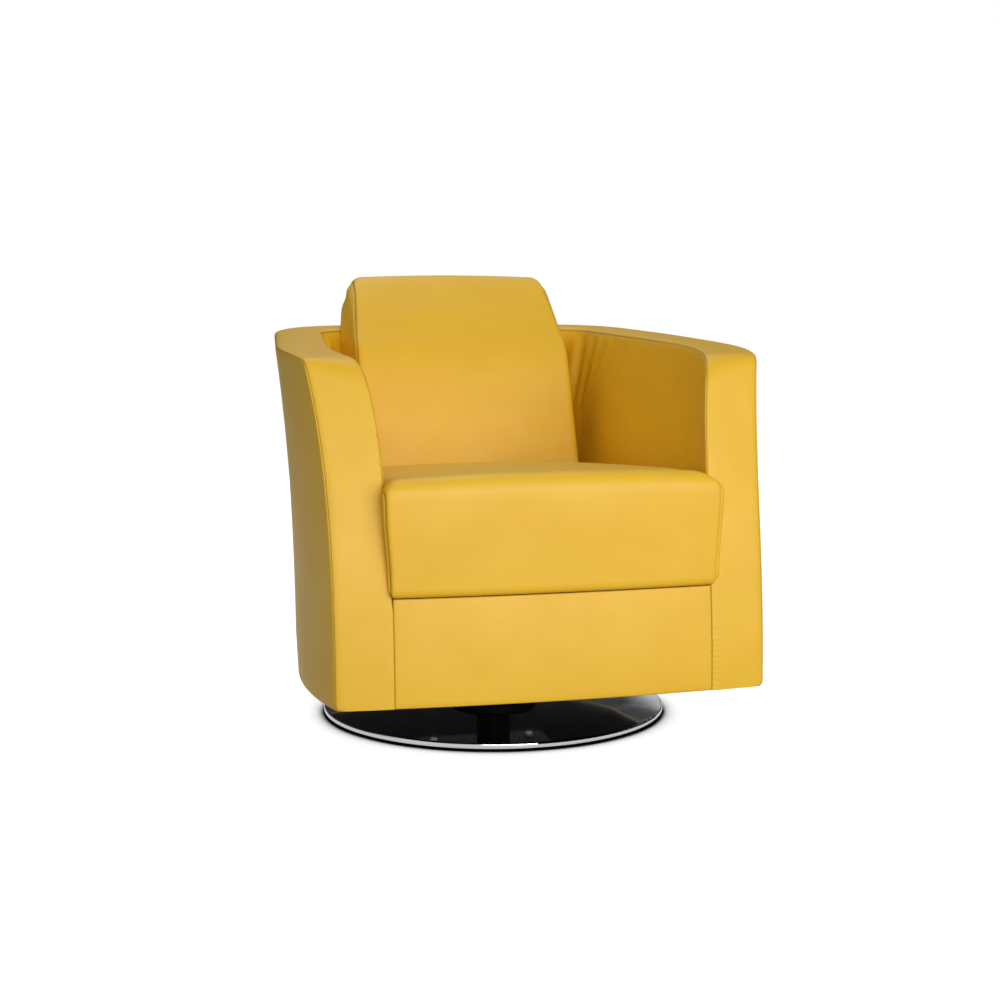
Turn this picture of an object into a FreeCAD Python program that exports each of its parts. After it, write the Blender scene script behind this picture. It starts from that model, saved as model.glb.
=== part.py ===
import FreeCAD, Part
import math
import os

# A swivel club chair: a leather tub with a seat cushion and a back cushion, on a chrome disc.
# Millimetres, +Z up. The origin is on the floor under the swivel axis and the chair faces -Y.

V = FreeCAD.Vector

# Base disc and floor pad
disc_diameter = 600.0
disc_thickness = 9.0
disc_edge_radius = 3.0
pad_thickness = 4.0
pad_margin = 15.0

# Swivel post, bushes and spindle
post_outer_radius = 30.0
post_wall = 7.0
post_flange_radius = 75.0
post_flange_thickness = 10.0
post_chamfer = 3.0
post_fillet = 12.0
collar_height = 8.0
collar_margin = 2.0
spindle_chamfer = 2.0
bush_wall = 4.0
bush_flange_thickness = 4.0
upper_bush_length = 30.0
lower_bush_length = 24.0
spindle_foot_gap = 6.0
spindle_spigot_radius = 12.0
running_clearance = 0.05
circlip_thickness = 3.0
circlip_depth = 2.0
circlip_mouth = 17.0
flange_screw_count = 6
flange_screw_circle = 58.0
screw_radius = 4.0
screw_end_cover = 2.0

# Swivel plate and its bolts
plate_side = 240.0
plate_thickness = 5.0
plate_corner = 18.0
bolt_spread_x = 90.0
bolt_spread_y = 85.0
bolt_head_height = 5.0
bolt_head_across = 13.0
nut_flange_radius = 11.0
nut_flange_thickness = 1.5
nut_barrel_length = 9.0
nut_barrel_wall = 1.4

# Tub plan at the floor edge of the leather, and how it changes towards the rim
body_bottom = 107.0
rim_height = 638.0
rim_rise = 0.0336
tub_width = 736.0
tub_depth = 784.0
front_nip = 22.0
front_flare = 26.0
arm_lean = 110.0
front_bow = 19.0
side_flare = 21.0
widest_setback = 177.0
widest_shift = 75.0
side_taper = math.radians(7.3)
back_lean = 43.0
back_radius = 1500.0
back_corner_radius = 170.0
arm_top_radius = 28.0

# Layers of the tub wall, from the outer leather to the inner leather
arm_thickness = 84.0
leather = 3.0
layer_gap = 0.6
rear_seam_apex = 20.0
outer_padding = 6.0
frame_depth = 44.0
lining = 4.0
arm_front_padding = 9.4
rim_padding = 11.4
rim_board_thickness = 18.0

# Timber frame
board_thickness = 18.0
bottom_cloth = 1.2
board_recess = 2.0
cloth_hole_margin = 0.5
arm_post_depth = 42.0
side_post_width = 44.0
side_post_places = (-60.0, 150.0)
back_post_width = 44.0
back_post_place = 120.0
front_rail_thickness = 28.0
rear_rail_thickness = 28.0
rear_rail_gap = 24.0
side_rail_height = 58.0
side_rail_ledge = 2.4
bearer_width = 48.0
bearer_height = 40.0

# Seat deck, springs and cushions
deck_front = 276.0
deck_slope = -0.075
deck_pad_thickness = 8.0
front_panel_tuck = 2.0
spring_count = 5
spring_side_gap = 32.0
spring_bar = 18.0
spring_wire_radius = 1.8
spring_runs = 22
spring_bow = 5.0
clip_height = 6.4
clip_length = 13.0
clip_width = 14.0
seat_cushion_height = 178.0
seat_cushion_proud = 12.0
seat_side_clearance = 1.0
seat_side_proud = 3.0
seat_front_radius = 28.0
back_foot_reach = 246.0
back_knee_reach = 189.0
back_knee_drop = 40.0
back_shoulder_reach = 134.0
back_shoulder_rise = 32.0
back_brow_reach = 82.0
back_brow_rise = 89.0
back_top_reach = 30.0
back_top_rise = 130.0
back_crest_reach = 4.0
back_crest_rise = 104.0
back_roll = 6.0
back_half_bottom = 206.0
back_half_top = 186.0
back_spread = 20.0
back_overhang = 0.45
back_foot_sink = 20.0
back_trim = 10.0
core_pull = 0.7

# Places in plan that follow from the sizes above
front_half_width = tub_width / 2.0 - front_nip
side_half_width = tub_width / 2.0
front_y = -tub_depth / 2.0
widest_y = front_y + widest_setback
back_y = tub_depth / 2.0
rear_rail_y = back_y - arm_thickness - rear_rail_gap - rear_rail_thickness

# Side view of the back cushion, as y and z
back_foot_y = back_y - back_foot_reach
back_knee = (back_y - back_knee_reach, rim_height - back_knee_drop)
back_shoulder = (back_y - back_shoulder_reach, rim_height + back_shoulder_rise)
back_brow = (back_y - back_brow_reach, rim_height + back_brow_rise)
back_top = (back_y - back_top_reach, rim_height + back_top_rise)
back_crest = (back_y - back_crest_reach, rim_height + back_crest_rise)

# Heights that follow from the sizes above
disc_low = pad_thickness
disc_top = pad_thickness + disc_thickness
cloth_top = body_bottom + bottom_cloth
board_low = body_bottom + board_recess
board_top = board_low + board_thickness
plate_low = board_low - plate_thickness
bore_radius = post_outer_radius - post_wall
spindle_radius = bore_radius - bush_wall - running_clearance
post_floor = disc_top + post_flange_thickness
collar_low = plate_low - collar_height
bush_top = collar_low - running_clearance
post_top = bush_top - bush_flange_thickness
collar_radius = post_outer_radius - collar_margin
bearer_top = board_top + bearer_height

# Depths through the wall, from the outer face of the leather
padding_start = leather + layer_gap
padding_end = padding_start + outer_padding
frame_start = padding_end + layer_gap
frame_end = frame_start + frame_depth
lining_start = frame_end + layer_gap
lining_end = lining_start + lining
pad_start = lining_end + layer_gap
inner_start = arm_thickness - leather
pad_end = inner_start - layer_gap
side_rail_end = arm_thickness + side_rail_ledge
front_pad_end = padding_start + arm_front_padding
front_frame = front_pad_end + layer_gap
rim_pad_end = padding_start + rim_padding
rim_board_start = rim_pad_end + layer_gap
rim_board_end = rim_board_start + rim_board_thickness
past_front = -80.0
past_side = -6.0

# Powers that bend each profile from the floor edge to the rim
corner_power = 4.0
lean_power = 2.0
side_power = 2.3
shift_power = 1.5
back_power = 1.6
loft_start = 10.0
loft_shares = (0.175, 0.365, 0.55, 0.70, 0.835, 0.95, 1.06, 1.16)
far = 1200.0


def plan_sizes(z):
    share = max(0.0, (z - body_bottom) / (rim_height - body_bottom))
    corner = (front_half_width + front_flare * share ** corner_power,
              front_y + arm_lean * share ** lean_power)
    widest = (side_half_width + side_flare * share ** side_power,
              widest_y + widest_shift * share ** shift_power)
    return corner, widest, back_y + back_lean * share ** back_power


def circle_meet(c1, r1, c2, r2):
    # the meeting point of two circles that lies nearer the front
    dx, dy = c2[0] - c1[0], c2[1] - c1[1]
    apart = math.hypot(dx, dy)
    along = (r1 * r1 - r2 * r2 + apart * apart) / (2.0 * apart)
    across = math.sqrt(r1 * r1 - along * along)
    ex, ey = dx / apart, dy / apart
    points = [(c1[0] + along * ex - sign * across * ey, c1[1] + along * ey + sign * across * ex)
              for sign in (-1, 1)]
    return min(points, key=lambda p: p[1])


def plan_wire(z, inset, front_inset):
    # bowed front, bulging side arc, straight tapering side, rear corner and bowed back, all offset inwards
    (wc, yc), (wm, ym), yb = plan_sizes(z)
    bulge = ((wm - wc) ** 2 + (yc - ym) ** 2) / (2.0 * (wm - wc))
    side_c = (wm - bulge, ym)
    front_r = (wc * wc + front_bow * front_bow) / (2.0 * front_bow)
    front_c = (0.0, yc - front_bow + front_r)
    nx, ny = math.cos(side_taper), math.sin(side_taper)
    reach = side_c[0] * nx + side_c[1] * ny + bulge - back_corner_radius
    back_c = yb - back_radius
    lift = math.sqrt((back_radius - back_corner_radius) ** 2 - (reach - ny * back_c) ** 2)
    slide = nx * back_c + lift
    rear_c = (nx * reach - ny * slide, ny * reach + nx * slide)
    rx, ry = rear_c[0], rear_c[1] - back_c
    length = math.hypot(rx, ry)
    rx, ry = rx / length, ry / length
    mx, my = nx + rx, ny + ry
    length = math.hypot(mx, my)
    mx, my = mx / length, my / length

    side_r = bulge - inset
    rear_r = back_corner_radius - inset
    corner = circle_meet(side_c, side_r, front_c, front_r - front_inset)
    start = math.atan2(corner[1] - side_c[1], corner[0] - side_c[0])
    middle = 0.5 * (start + side_taper)
    side_mid = (side_c[0] + side_r * math.cos(middle), side_c[1] + side_r * math.sin(middle))
    side_end = (side_c[0] + side_r * nx, side_c[1] + side_r * ny)
    line_end = (rear_c[0] + rear_r * nx, rear_c[1] + rear_r * ny)
    rear_mid = (rear_c[0] + rear_r * mx, rear_c[1] + rear_r * my)
    rear_end = (rear_c[0] + rear_r * rx, rear_c[1] + rear_r * ry)

    def right(p):
        return V(p[0], p[1], z)

    def left(p):
        return V(-p[0], p[1], z)

    edges = [
        Part.Arc(left(corner), V(0, front_c[1] - front_r + front_inset, z), right(corner)).toShape(),
        Part.Arc(right(corner), right(side_mid), right(side_end)).toShape(),
        Part.makeLine(right(side_end), right(line_end)),
        Part.Arc(right(line_end), right(rear_mid), right(rear_end)).toShape(),
        Part.Arc(right(rear_end), V(0, yb - inset, z), left(rear_end)).toShape(),
        Part.Arc(left(rear_end), left(rear_mid), left(line_end)).toShape(),
        Part.makeLine(left(line_end), left(side_end)),
        Part.Arc(left(side_end), left(side_mid), left(corner)).toShape(),
    ]
    return Part.Wire(edges)


def side_line_x(z, y, inset):
    # half width at a place on the straight tapering part of the side
    (wc, yc), (wm, ym), _ = plan_sizes(z)
    bulge = ((wm - wc) ** 2 + (yc - ym) ** 2) / (2.0 * (wm - wc))
    nx, ny = math.cos(side_taper), math.sin(side_taper)
    return ((wm - bulge) * nx + ym * ny + bulge - inset - ny * y) / nx


lofts = {}


def plug(inset, front_inset):
    # the whole tub form, offset inwards, as a solid plug with no seat space
    key = (round(inset, 4), round(front_inset, 4))
    if key not in lofts:
        heights = [body_bottom - loft_start]
        heights += [body_bottom + share * (rim_height - body_bottom) for share in loft_shares]
        wires = [plan_wire(z, inset, front_inset) for z in heights]
        lofts[key] = Part.makeLoft(wires, True, False)
    return lofts[key]


def slab(low, high):
    return Part.makeBox(2 * far, 2 * far, high - low, V(-far, -far, low))


def tilted_above(height, slope):
    # everything above a plane that crosses the swivel axis at this height and slopes along Y
    box = Part.makeBox(2 * far, 2 * far, far, V(-far, -far, 0))
    box.rotate(V(0, 0, 0), V(1, 0, 0), math.degrees(math.atan(slope)))
    box.translate(V(0, 0, height))
    return box


def above_rim(drop):
    return tilted_above(rim_height - rim_rise * (front_y + arm_lean) - drop, rim_rise)


def above_deck(lift):
    return tilted_above(deck_front - deck_slope * (front_y - front_bow) + lift, deck_slope)


def deck_height(y):
    return deck_front + deck_slope * (y - front_y + front_bow)


def tub_form(inset, front_inset, drop, bottom=body_bottom):
    # the plug cut off at the rim, with the round turn from the arm tops to the arm fronts
    form = plug(inset, front_inset).cut(above_rim(drop)).cut(slab(-far, bottom))
    radius = arm_top_radius - front_inset
    edges = []
    for edge in form.Edges:
        box = edge.BoundBox
        at_front = box.XLength > front_half_width and box.YMax < widest_y
        if at_front and box.ZMin > rim_height - 4 * arm_top_radius:
            edges.append(edge)
    return form.makeFillet(radius, edges)


def wall_layer(start, end, front_inset, drop, bottom=body_bottom):
    # a U-shaped layer of the wall between two depths
    return tub_form(start, front_inset, drop, bottom).cut(plug(end, past_front))


def rear_wedge():
    # the region behind two planes at 45 degrees, where the back panels meet the arm panels
    points = [V(0, rear_seam_apex, 0), V(far, rear_seam_apex + far, 0), V(-far, rear_seam_apex + far, 0),
              V(0, rear_seam_apex, 0)]
    return Part.Face(Part.makePolygon(points)).extrude(V(0, 0, far))


def only(shape, test):
    return Part.makeCompound([s for s in shape.Solids if test(s.CenterOfMass)])


def split_three(shape, name):
    # left arm, right arm and back pieces of a U-shaped layer
    wedge = rear_wedge()
    sides = shape.cut(wedge)
    return {
        name + "_left": only(sides, lambda c: c.x < 0),
        name + "_right": only(sides, lambda c: c.x > 0),
        name + "_back": shape.common(wedge),
    }


def cylinder(radius, low, high, x=0.0, y=0.0):
    return Part.makeCylinder(radius, high - low, V(x, y, low))


def tube(outer, inner, low, high):
    return cylinder(outer, low, high).cut(cylinder(inner, low, high))


def revolve(points):
    loop = [V(r, 0, z) for r, z in points]
    face = Part.Face(Part.makePolygon(loop + loop[:1]))
    return face.revolve(V(0, 0, 0), V(0, 0, 1), 360)


def ring_places():
    for i in range(flange_screw_count):
        angle = 2 * math.pi * i / flange_screw_count
        yield flange_screw_circle * math.cos(angle), flange_screw_circle * math.sin(angle)


def bolt_places():
    for sx in (-1, 1):
        for sy in (-1, 1):
            yield sx * bolt_spread_x, sy * bolt_spread_y


def flange_screw(x, y, clearance):
    radius = screw_radius + clearance
    head = Part.makeCone(screw_radius + radius, radius, screw_radius, V(x, y, disc_low))
    shank_end = post_floor - screw_end_cover + clearance
    return head.fuse(cylinder(radius, disc_low + screw_radius, shank_end, x, y)).removeSplitter()


def base_parts():
    disc = cylinder(disc_diameter / 2.0, disc_low, disc_top)
    rims = [e for e in disc.Edges if e.Curve.TypeId == "Part::GeomCircle"]
    disc = disc.makeFillet(disc_edge_radius, rims)
    pad = cylinder(disc_diameter / 2.0 - pad_margin, 0, pad_thickness)

    post = revolve([
        (0, disc_top), (post_flange_radius, disc_top), (post_flange_radius, post_floor - post_chamfer),
        (post_flange_radius - post_chamfer, post_floor), (post_outer_radius + post_fillet, post_floor),
        (post_outer_radius, post_floor + post_fillet), (post_outer_radius, post_top),
        (bore_radius, post_top), (bore_radius, post_floor), (0, post_floor)])
    screws = []
    for x, y in ring_places():
        screws.append(flange_screw(x, y, 0.0))
        hole = flange_screw(x, y, running_clearance)
        disc = disc.cut(hole)
        post = post.cut(hole)

    outer = bore_radius - running_clearance
    inner = spindle_radius + running_clearance
    upper = tube(outer, inner, post_top - upper_bush_length, bush_top)
    upper = upper.fuse(tube(collar_radius, inner, post_top, bush_top)).removeSplitter()
    lower = tube(outer, inner, post_floor, post_floor + lower_bush_length)
    return {
        "floor_pad": pad,
        "base_disc": disc,
        "swivel_post": post,
        "flange_screws": Part.makeCompound(screws),
        "upper_bush": upper,
        "lower_bush": lower,
    }


def swivel_parts():
    groove_top = post_top - upper_bush_length - running_clearance
    groove_low = groove_top - circlip_thickness
    groove_radius = spindle_radius - circlip_depth
    foot = post_floor + spindle_foot_gap
    spindle = revolve([
        (0, foot), (spindle_radius - spindle_chamfer, foot),
        (spindle_radius, foot + spindle_chamfer), (spindle_radius, groove_low),
        (groove_radius, groove_low), (groove_radius, groove_top), (spindle_radius, groove_top),
        (spindle_radius, collar_low), (collar_radius, collar_low), (collar_radius, plate_low),
        (spindle_spigot_radius, plate_low), (spindle_spigot_radius, board_low), (0, board_low)])
    clip_inner = groove_radius + running_clearance
    clip = tube(spindle_radius + circlip_depth, clip_inner, groove_low, groove_top - running_clearance)
    clip = clip.cut(Part.makeBox(circlip_mouth, far, far, V(-circlip_mouth / 2, 0, 0)))

    half = plate_side / 2.0
    plate = Part.makeBox(plate_side, plate_side, plate_thickness, V(-half, -half, plate_low))
    upright = [e for e in plate.Edges if e.BoundBox.ZLength > plate_thickness / 2]
    plate = plate.makeFillet(plate_corner, upright)
    plate = plate.cut(cylinder(spindle_spigot_radius + running_clearance, plate_low, board_low))

    bolts, nuts = [], []
    hexagon = bolt_head_across / math.sqrt(3)
    shank_end = bearer_top + nut_flange_thickness
    barrel = screw_radius + running_clearance + nut_barrel_wall
    for x, y in bolt_places():
        plate = plate.cut(cylinder(screw_radius + running_clearance, plate_low, board_low, x, y))
        corners = [V(x + hexagon * math.cos(math.pi * k / 3), y + hexagon * math.sin(math.pi * k / 3),
                     plate_low - bolt_head_height) for k in range(7)]
        head = Part.Face(Part.makePolygon(corners)).extrude(V(0, 0, bolt_head_height))
        bolts.append(head.fuse(cylinder(screw_radius, plate_low, shank_end, x, y)).removeSplitter())
        nut = cylinder(nut_flange_radius, bearer_top, shank_end, x, y)
        nut = nut.fuse(cylinder(barrel, bearer_top - nut_barrel_length, bearer_top, x, y))
        bore = cylinder(screw_radius + running_clearance, board_low, shank_end, x, y)
        nuts.append(nut.cut(bore).removeSplitter())
    return {
        "swivel_spindle": spindle,
        "spindle_circlip": clip,
        "swivel_plate": plate,
        "plate_bolts": Part.makeCompound(bolts),
        "tee_nuts": Part.makeCompound(nuts),
    }


def drill_bolts(shape, counterbore):
    radius = screw_radius + running_clearance
    for x, y in bolt_places():
        shape = shape.cut(cylinder(radius, board_low - 1.0, bearer_top + 1.0, x, y))
        if counterbore:
            low = bearer_top - nut_barrel_length
            shape = shape.cut(cylinder(radius + nut_barrel_wall + running_clearance, low, bearer_top, x, y))
    return shape


def frame_parts():
    parts = {}
    board = plug(frame_start, front_frame).common(slab(board_low, board_top))
    parts["base_board"] = drill_bolts(board, False)

    bearers = []
    for sy in (-1, 1):
        box = Part.makeBox(2 * far, bearer_width, bearer_height,
                           V(-far, sy * bolt_spread_y - bearer_width / 2, board_top))
        bearers.append(drill_bolts(box.common(plug(pad_start, past_front)), True))
    parts["front_bearer"], parts["rear_bearer"] = bearers

    rim = wall_layer(frame_start, frame_end, front_frame, rim_board_start).common(above_rim(rim_board_end))
    parts["rim_board"] = rim

    zone = wall_layer(frame_start, frame_end, front_frame, rim_board_end, board_top)
    arm_posts = zone.cut(plug(past_side, front_frame + arm_post_depth))
    parts["arm_post_left"] = only(arm_posts, lambda c: c.x < 0)
    parts["arm_post_right"] = only(arm_posts, lambda c: c.x > 0)
    sides = []
    for y in side_post_places:
        box = Part.makeBox(2 * far, side_post_width, far, V(-far, y - side_post_width / 2, 0))
        sides.append(zone.common(box))
    sides = Part.makeCompound([s for group in sides for s in group.Solids])
    parts["side_posts_left"] = only(sides, lambda c: c.x < 0)
    parts["side_posts_right"] = only(sides, lambda c: c.x > 0)
    backs = []
    for sx in (-1, 1):
        left = sx * back_post_place - back_post_width / 2
        box = Part.makeBox(back_post_width, far, far, V(left, rear_rail_y, 0))
        backs += zone.common(box).Solids
    parts["back_posts"] = Part.makeCompound(backs)

    sheet = wall_layer(lining_start, lining_end, front_frame, rim_board_start, board_top)
    parts.update(split_three(sheet, "lining"))

    rail_drop = deck_pad_thickness + layer_gap + clip_height + running_clearance
    rail_front_back = front_frame + front_rail_thickness
    front_rail = plug(pad_start, front_frame).cut(plug(past_side, rail_front_back))
    parts["front_rail"] = front_rail.cut(above_deck(-rail_drop)).cut(slab(-far, board_top))
    box = Part.makeBox(2 * far, rear_rail_thickness, far, V(-far, rear_rail_y, board_top))
    parts["rear_rail"] = box.common(plug(pad_start, past_front)).cut(above_deck(-rail_drop))
    side_top = deck_pad_thickness + layer_gap
    rails = plug(pad_start, rail_front_back + layer_gap).cut(plug(side_rail_end, past_front))
    rails = rails.common(above_deck(-side_top - side_rail_height)).cut(above_deck(-side_top))
    rails = rails.cut(Part.makeBox(2 * far, far, far, V(-far, rear_rail_y, 0)))
    parts["side_rail_left"] = only(rails, lambda c: c.x < 0)
    parts["side_rail_right"] = only(rails, lambda c: c.x > 0)
    return parts


def spring_path(x, length):
    # flat zigzag of cross bars joined by half-circle bends
    half = spring_bar / 2.0
    step = length / (spring_runs - 1)
    edges = []
    for i in range(spring_runs):
        side = 1 if i % 2 == 0 else -1
        a, b = V(x - side * half, step * i, 0), V(x + side * half, step * i, 0)
        edges.append(Part.makeLine(a, b))
        if i < spring_runs - 1:
            bend = V(b.x + side * step / 2, b.y + step / 2, 0)
            edges.append(Part.Arc(b, bend, V(b.x, b.y + step, 0)).toShape())
    return Part.Wire(edges), V(x - half, 0, 0)


def lay_on_deck(shape, first_y, drop):
    # from flat, with the first bar at y = 0, to the slope of the deck
    shape.rotate(V(0, 0, 0), V(1, 0, 0), math.degrees(math.atan(deck_slope)))
    shape.translate(V(0, first_y, deck_height(first_y) - drop))
    return shape


def suspension_parts():
    # zigzag springs from the front rail to the rear rail, held by a clip at each end
    middle = deck_pad_thickness + layer_gap + clip_height / 2.0
    front_corner = plan_sizes(deck_front)[0]
    first_y = front_corner[1] - front_bow + front_frame + (front_rail_thickness + spring_bow) / 2.0
    last_y = rear_rail_y + rear_rail_thickness / 2.0
    length = (last_y - first_y) / math.cos(math.atan(deck_slope))
    bend = length / (spring_runs - 1) / 2.0
    rail_face = side_line_x(deck_height(last_y), last_y, side_rail_end)
    outermost = rail_face - spring_side_gap - spring_bar / 2.0 - bend - spring_wire_radius
    springs, clips = [], []
    for i in range(spring_count):
        x = outermost * (2.0 * i / (spring_count - 1) - 1.0)
        path, start = spring_path(x, length)
        section = Part.Face(Part.Wire(Part.makeCircle(spring_wire_radius, start, V(1, 0, 0))))
        springs.append(lay_on_deck(path.makePipe(section), first_y, middle))
        for y in (0.0, length):
            left = x - clip_width / 2
            corner = V(left, y - clip_length / 2, -clip_height / 2)
            body = Part.makeBox(clip_width, clip_length, clip_height, corner)
            wire_bore = spring_wire_radius + running_clearance
            bore = Part.makeCylinder(wire_bore, clip_width, V(left, y, 0), V(1, 0, 0))
            clips.append(lay_on_deck(body.cut(bore), first_y, middle))
    deck = plug(arm_thickness + layer_gap, front_frame)
    deck = deck.common(above_deck(-deck_pad_thickness)).cut(above_deck(0))
    return {
        "seat_springs": Part.makeCompound(springs),
        "spring_clips": Part.makeCompound(clips),
        "seat_deck": deck,
    }


def padding_parts():
    parts = {}
    outer = wall_layer(padding_start, padding_end, front_frame, rim_board_start, board_low)
    parts.update(split_three(outer, "outer_padding"))
    inner = wall_layer(pad_start, pad_end, front_frame, rim_board_start)
    parts.update(split_three(inner.common(above_deck(-deck_pad_thickness)), "inner_padding"))
    rim = wall_layer(padding_start, pad_end, padding_start, padding_start).common(above_rim(rim_pad_end))
    parts["rim_padding"] = rim
    fronts = wall_layer(padding_start, pad_end, padding_start, rim_board_start, board_low)
    fronts = fronts.cut(plug(past_side, front_pad_end))
    parts["arm_front_padding_left"] = only(fronts, lambda c: c.x < 0)
    parts["arm_front_padding_right"] = only(fronts, lambda c: c.x > 0)
    panel = plug(arm_thickness + layer_gap / 2, padding_start).cut(plug(past_side, front_pad_end))
    parts["front_padding"] = panel.cut(above_deck(-front_panel_tuck)).cut(slab(-far, board_low))
    return parts


def leather_parts():
    parts = {}
    parts.update(split_three(wall_layer(0.0, leather, padding_start, padding_start), "outer_cover"))
    inner = wall_layer(inner_start, arm_thickness, padding_start, padding_start)
    parts.update(split_three(inner.common(above_deck(-deck_pad_thickness)), "inner_cover"))
    skin = tub_form(0.0, 0.0, 0.0).cut(tub_form(past_side, leather, leather, body_bottom - loft_start / 2))
    band = skin.cut(plug(arm_thickness - layer_gap / 2, past_front))
    parts.update(split_three(band, "rim_band"))
    panel = skin.common(plug(arm_thickness + layer_gap / 2, past_front)).cut(above_deck(-front_panel_tuck))
    parts["front_panel"] = panel
    cloth = plug(padding_start, padding_start).common(slab(body_bottom, cloth_top))
    hole = plate_side / 2.0 + cloth_hole_margin
    parts["bottom_cloth"] = cloth.cut(Part.makeBox(2 * hole, 2 * hole, far, V(-hole, -hole, 0)))
    return parts


def seat_cushion(inset):
    # a block on the slope of the deck with a round front edge, a little proud of the arms
    plan = plan_wire(deck_front, arm_thickness - seat_side_proud + inset, inset - seat_cushion_proud)
    block = Part.Face(plan).extrude(V(0, 0, far))
    block = block.common(above_deck(layer_gap + inset)).cut(above_deck(seat_cushion_height - inset))
    front = []
    for e in block.Edges:
        middle = deck_height(e.CenterOfMass.y) + seat_cushion_height / 2
        if e.BoundBox.ZMin > middle and e.BoundBox.YMax < widest_y:
            front.append(e)
    block = block.makeFillet(seat_front_radius - inset, front)
    clearance = seat_side_clearance + inset
    return block.cut(wall_layer(frame_end, arm_thickness + clearance, -clearance, 0.0))


def back_limits(inset):
    # the space inside the tub, and above the rim the same plan leaning back over it
    sides = arm_thickness + layer_gap + inset
    level = rim_height + rim_rise * (back_y + back_lean - front_y - arm_lean) + layer_gap
    inside = plug(sides, past_front).cut(slab(level, far))
    rise = far - level
    plan = Part.Face(plan_wire(level, sides + leather, past_front))
    over = plan.extrude(V(0, back_overhang * rise, rise))
    return inside, over


def back_cushion(inset):
    # a wedge that leans on the back of the tub, rolls over at the top and widens to the rear
    foot = above_deck(seat_cushion_height + layer_gap + inset)
    foot_z = deck_height(back_foot_y) + seat_cushion_height - back_foot_sink

    def point(p, dy, dz):
        return V(0, p[0] + dy, p[1] + dz)

    front = Part.BSplineCurve()
    front.interpolate([V(0, back_foot_y + inset, foot_z), point(back_knee, inset, 0),
                       point(back_shoulder, inset, -inset / 2),
                       point(back_brow, inset * core_pull, -inset * core_pull),
                       point(back_top, 0, -inset)])
    rear_low = V(0, back_crest[0] - inset, foot_z)
    crest = point(back_crest, -inset, 0)
    shoulder = V(0, (back_top[0] + back_crest[0]) / 2 + back_roll - inset * core_pull,
                 (back_top[1] + back_crest[1]) / 2 + back_roll - inset * core_pull)
    roll = Part.Arc(point(back_top, 0, -inset), shoulder, crest).toShape()
    side = Part.Wire([front.toShape(), roll, Part.makeLine(crest, rear_low),
                      Part.makeLine(rear_low, V(0, back_foot_y + inset, foot_z))])
    block = Part.Face(side).extrude(V(far, 0, 0))
    block.translate(V(-far / 2, 0, 0))

    def outline(y, spread):
        low, high = back_half_bottom + spread - inset, back_half_top + spread - inset
        top, bottom = back_top[1] + back_foot_sink, foot_z - back_foot_sink
        corners = [V(-low, y, bottom), V(low, y, bottom), V(high, y, top), V(-high, y, top)]
        return Part.makePolygon(corners + corners[:1])

    ends = [outline(back_foot_y - back_trim, 0.0), outline(back_crest[0] + back_trim, back_spread)]
    taper = Part.makeLoft(ends, True, True)
    block = block.common(taper).common(foot)
    inside, over = back_limits(inset)
    return block.common(inside).fuse(block.common(over)).removeSplitter()


def cushion_parts():
    fill = leather + layer_gap
    seat, seat_core = seat_cushion(0.0), seat_cushion(fill)
    back, back_core = back_cushion(0.0), back_cushion(fill)
    return {
        "seat_cushion_cover": seat.cut(seat_cushion(leather)),
        "seat_cushion_core": seat_core,
        "back_cushion_cover": back.cut(back_cushion(leather)),
        "back_cushion_core": back_core,
    }


def main():
    os.makedirs("parts", exist_ok=True)
    parts = {}
    for group in (base_parts, swivel_parts, frame_parts, suspension_parts, padding_parts, leather_parts,
                  cushion_parts):
        parts.update(group())
    for name, shape in parts.items():
        shape.exportStep("parts/" + name + ".step")
        print(name, len(shape.Solids), round(shape.Volume), shape.isValid())


main()
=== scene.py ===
import math

import bpy
import numpy as np
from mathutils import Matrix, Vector


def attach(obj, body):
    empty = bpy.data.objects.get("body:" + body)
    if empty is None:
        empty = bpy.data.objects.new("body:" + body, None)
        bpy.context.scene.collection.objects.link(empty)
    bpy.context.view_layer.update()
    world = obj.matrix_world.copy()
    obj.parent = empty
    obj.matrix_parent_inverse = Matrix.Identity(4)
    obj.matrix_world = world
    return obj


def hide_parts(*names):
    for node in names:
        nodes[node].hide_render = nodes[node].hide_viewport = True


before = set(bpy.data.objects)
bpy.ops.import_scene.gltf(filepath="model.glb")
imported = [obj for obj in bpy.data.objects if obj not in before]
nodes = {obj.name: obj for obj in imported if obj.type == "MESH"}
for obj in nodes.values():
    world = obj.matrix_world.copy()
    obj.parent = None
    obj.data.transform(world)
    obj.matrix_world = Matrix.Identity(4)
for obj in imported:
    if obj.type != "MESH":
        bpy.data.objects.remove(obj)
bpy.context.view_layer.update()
mm = 0.001
print("frame loaded:", len(nodes), "nodes")

# the tub's driving sizes, in millimetres, as in the part
tub = {
    "bottom": 107.0, "rimHeight": 638.0, "rimRise": 0.0336, "width": 736.0, "depth": 784.0,
    "frontNip": 22.0, "frontFlare": 26.0, "armLean": 110.0, "frontBow": 19.0, "sideFlare": 21.0,
    "widestSetback": 177.0, "widestShift": 75.0, "sideTaper": math.radians(7.3), "backLean": 43.0,
    "backRadius": 1500.0, "cornerRadius": 170.0, "armThickness": 84.0,
    "deckFront": 276.0, "deckSlope": -0.075, "footRound": 8.0,
    # the rim seams dip towards the arm fronts, the inner one sooner and further
    "seamRise": 2.0, "seamDrop": 8.0, "seamDropReach": 52.0, "innerDrop": 13.0, "innerDropReach": 78.0,
    # height, and how far the inner seam of the arm front is pushed outwards there
    "giveLeft": [(255.0, 0.0), (296.0, 4.0), (346.0, 7.0), (440.0, 6.0), (520.0, 3.5), (640.0, 4.0)],
    "giveRight": [(250.0, 0.0), (462.0, 3.0), (640.0, 3.5)],
}


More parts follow.
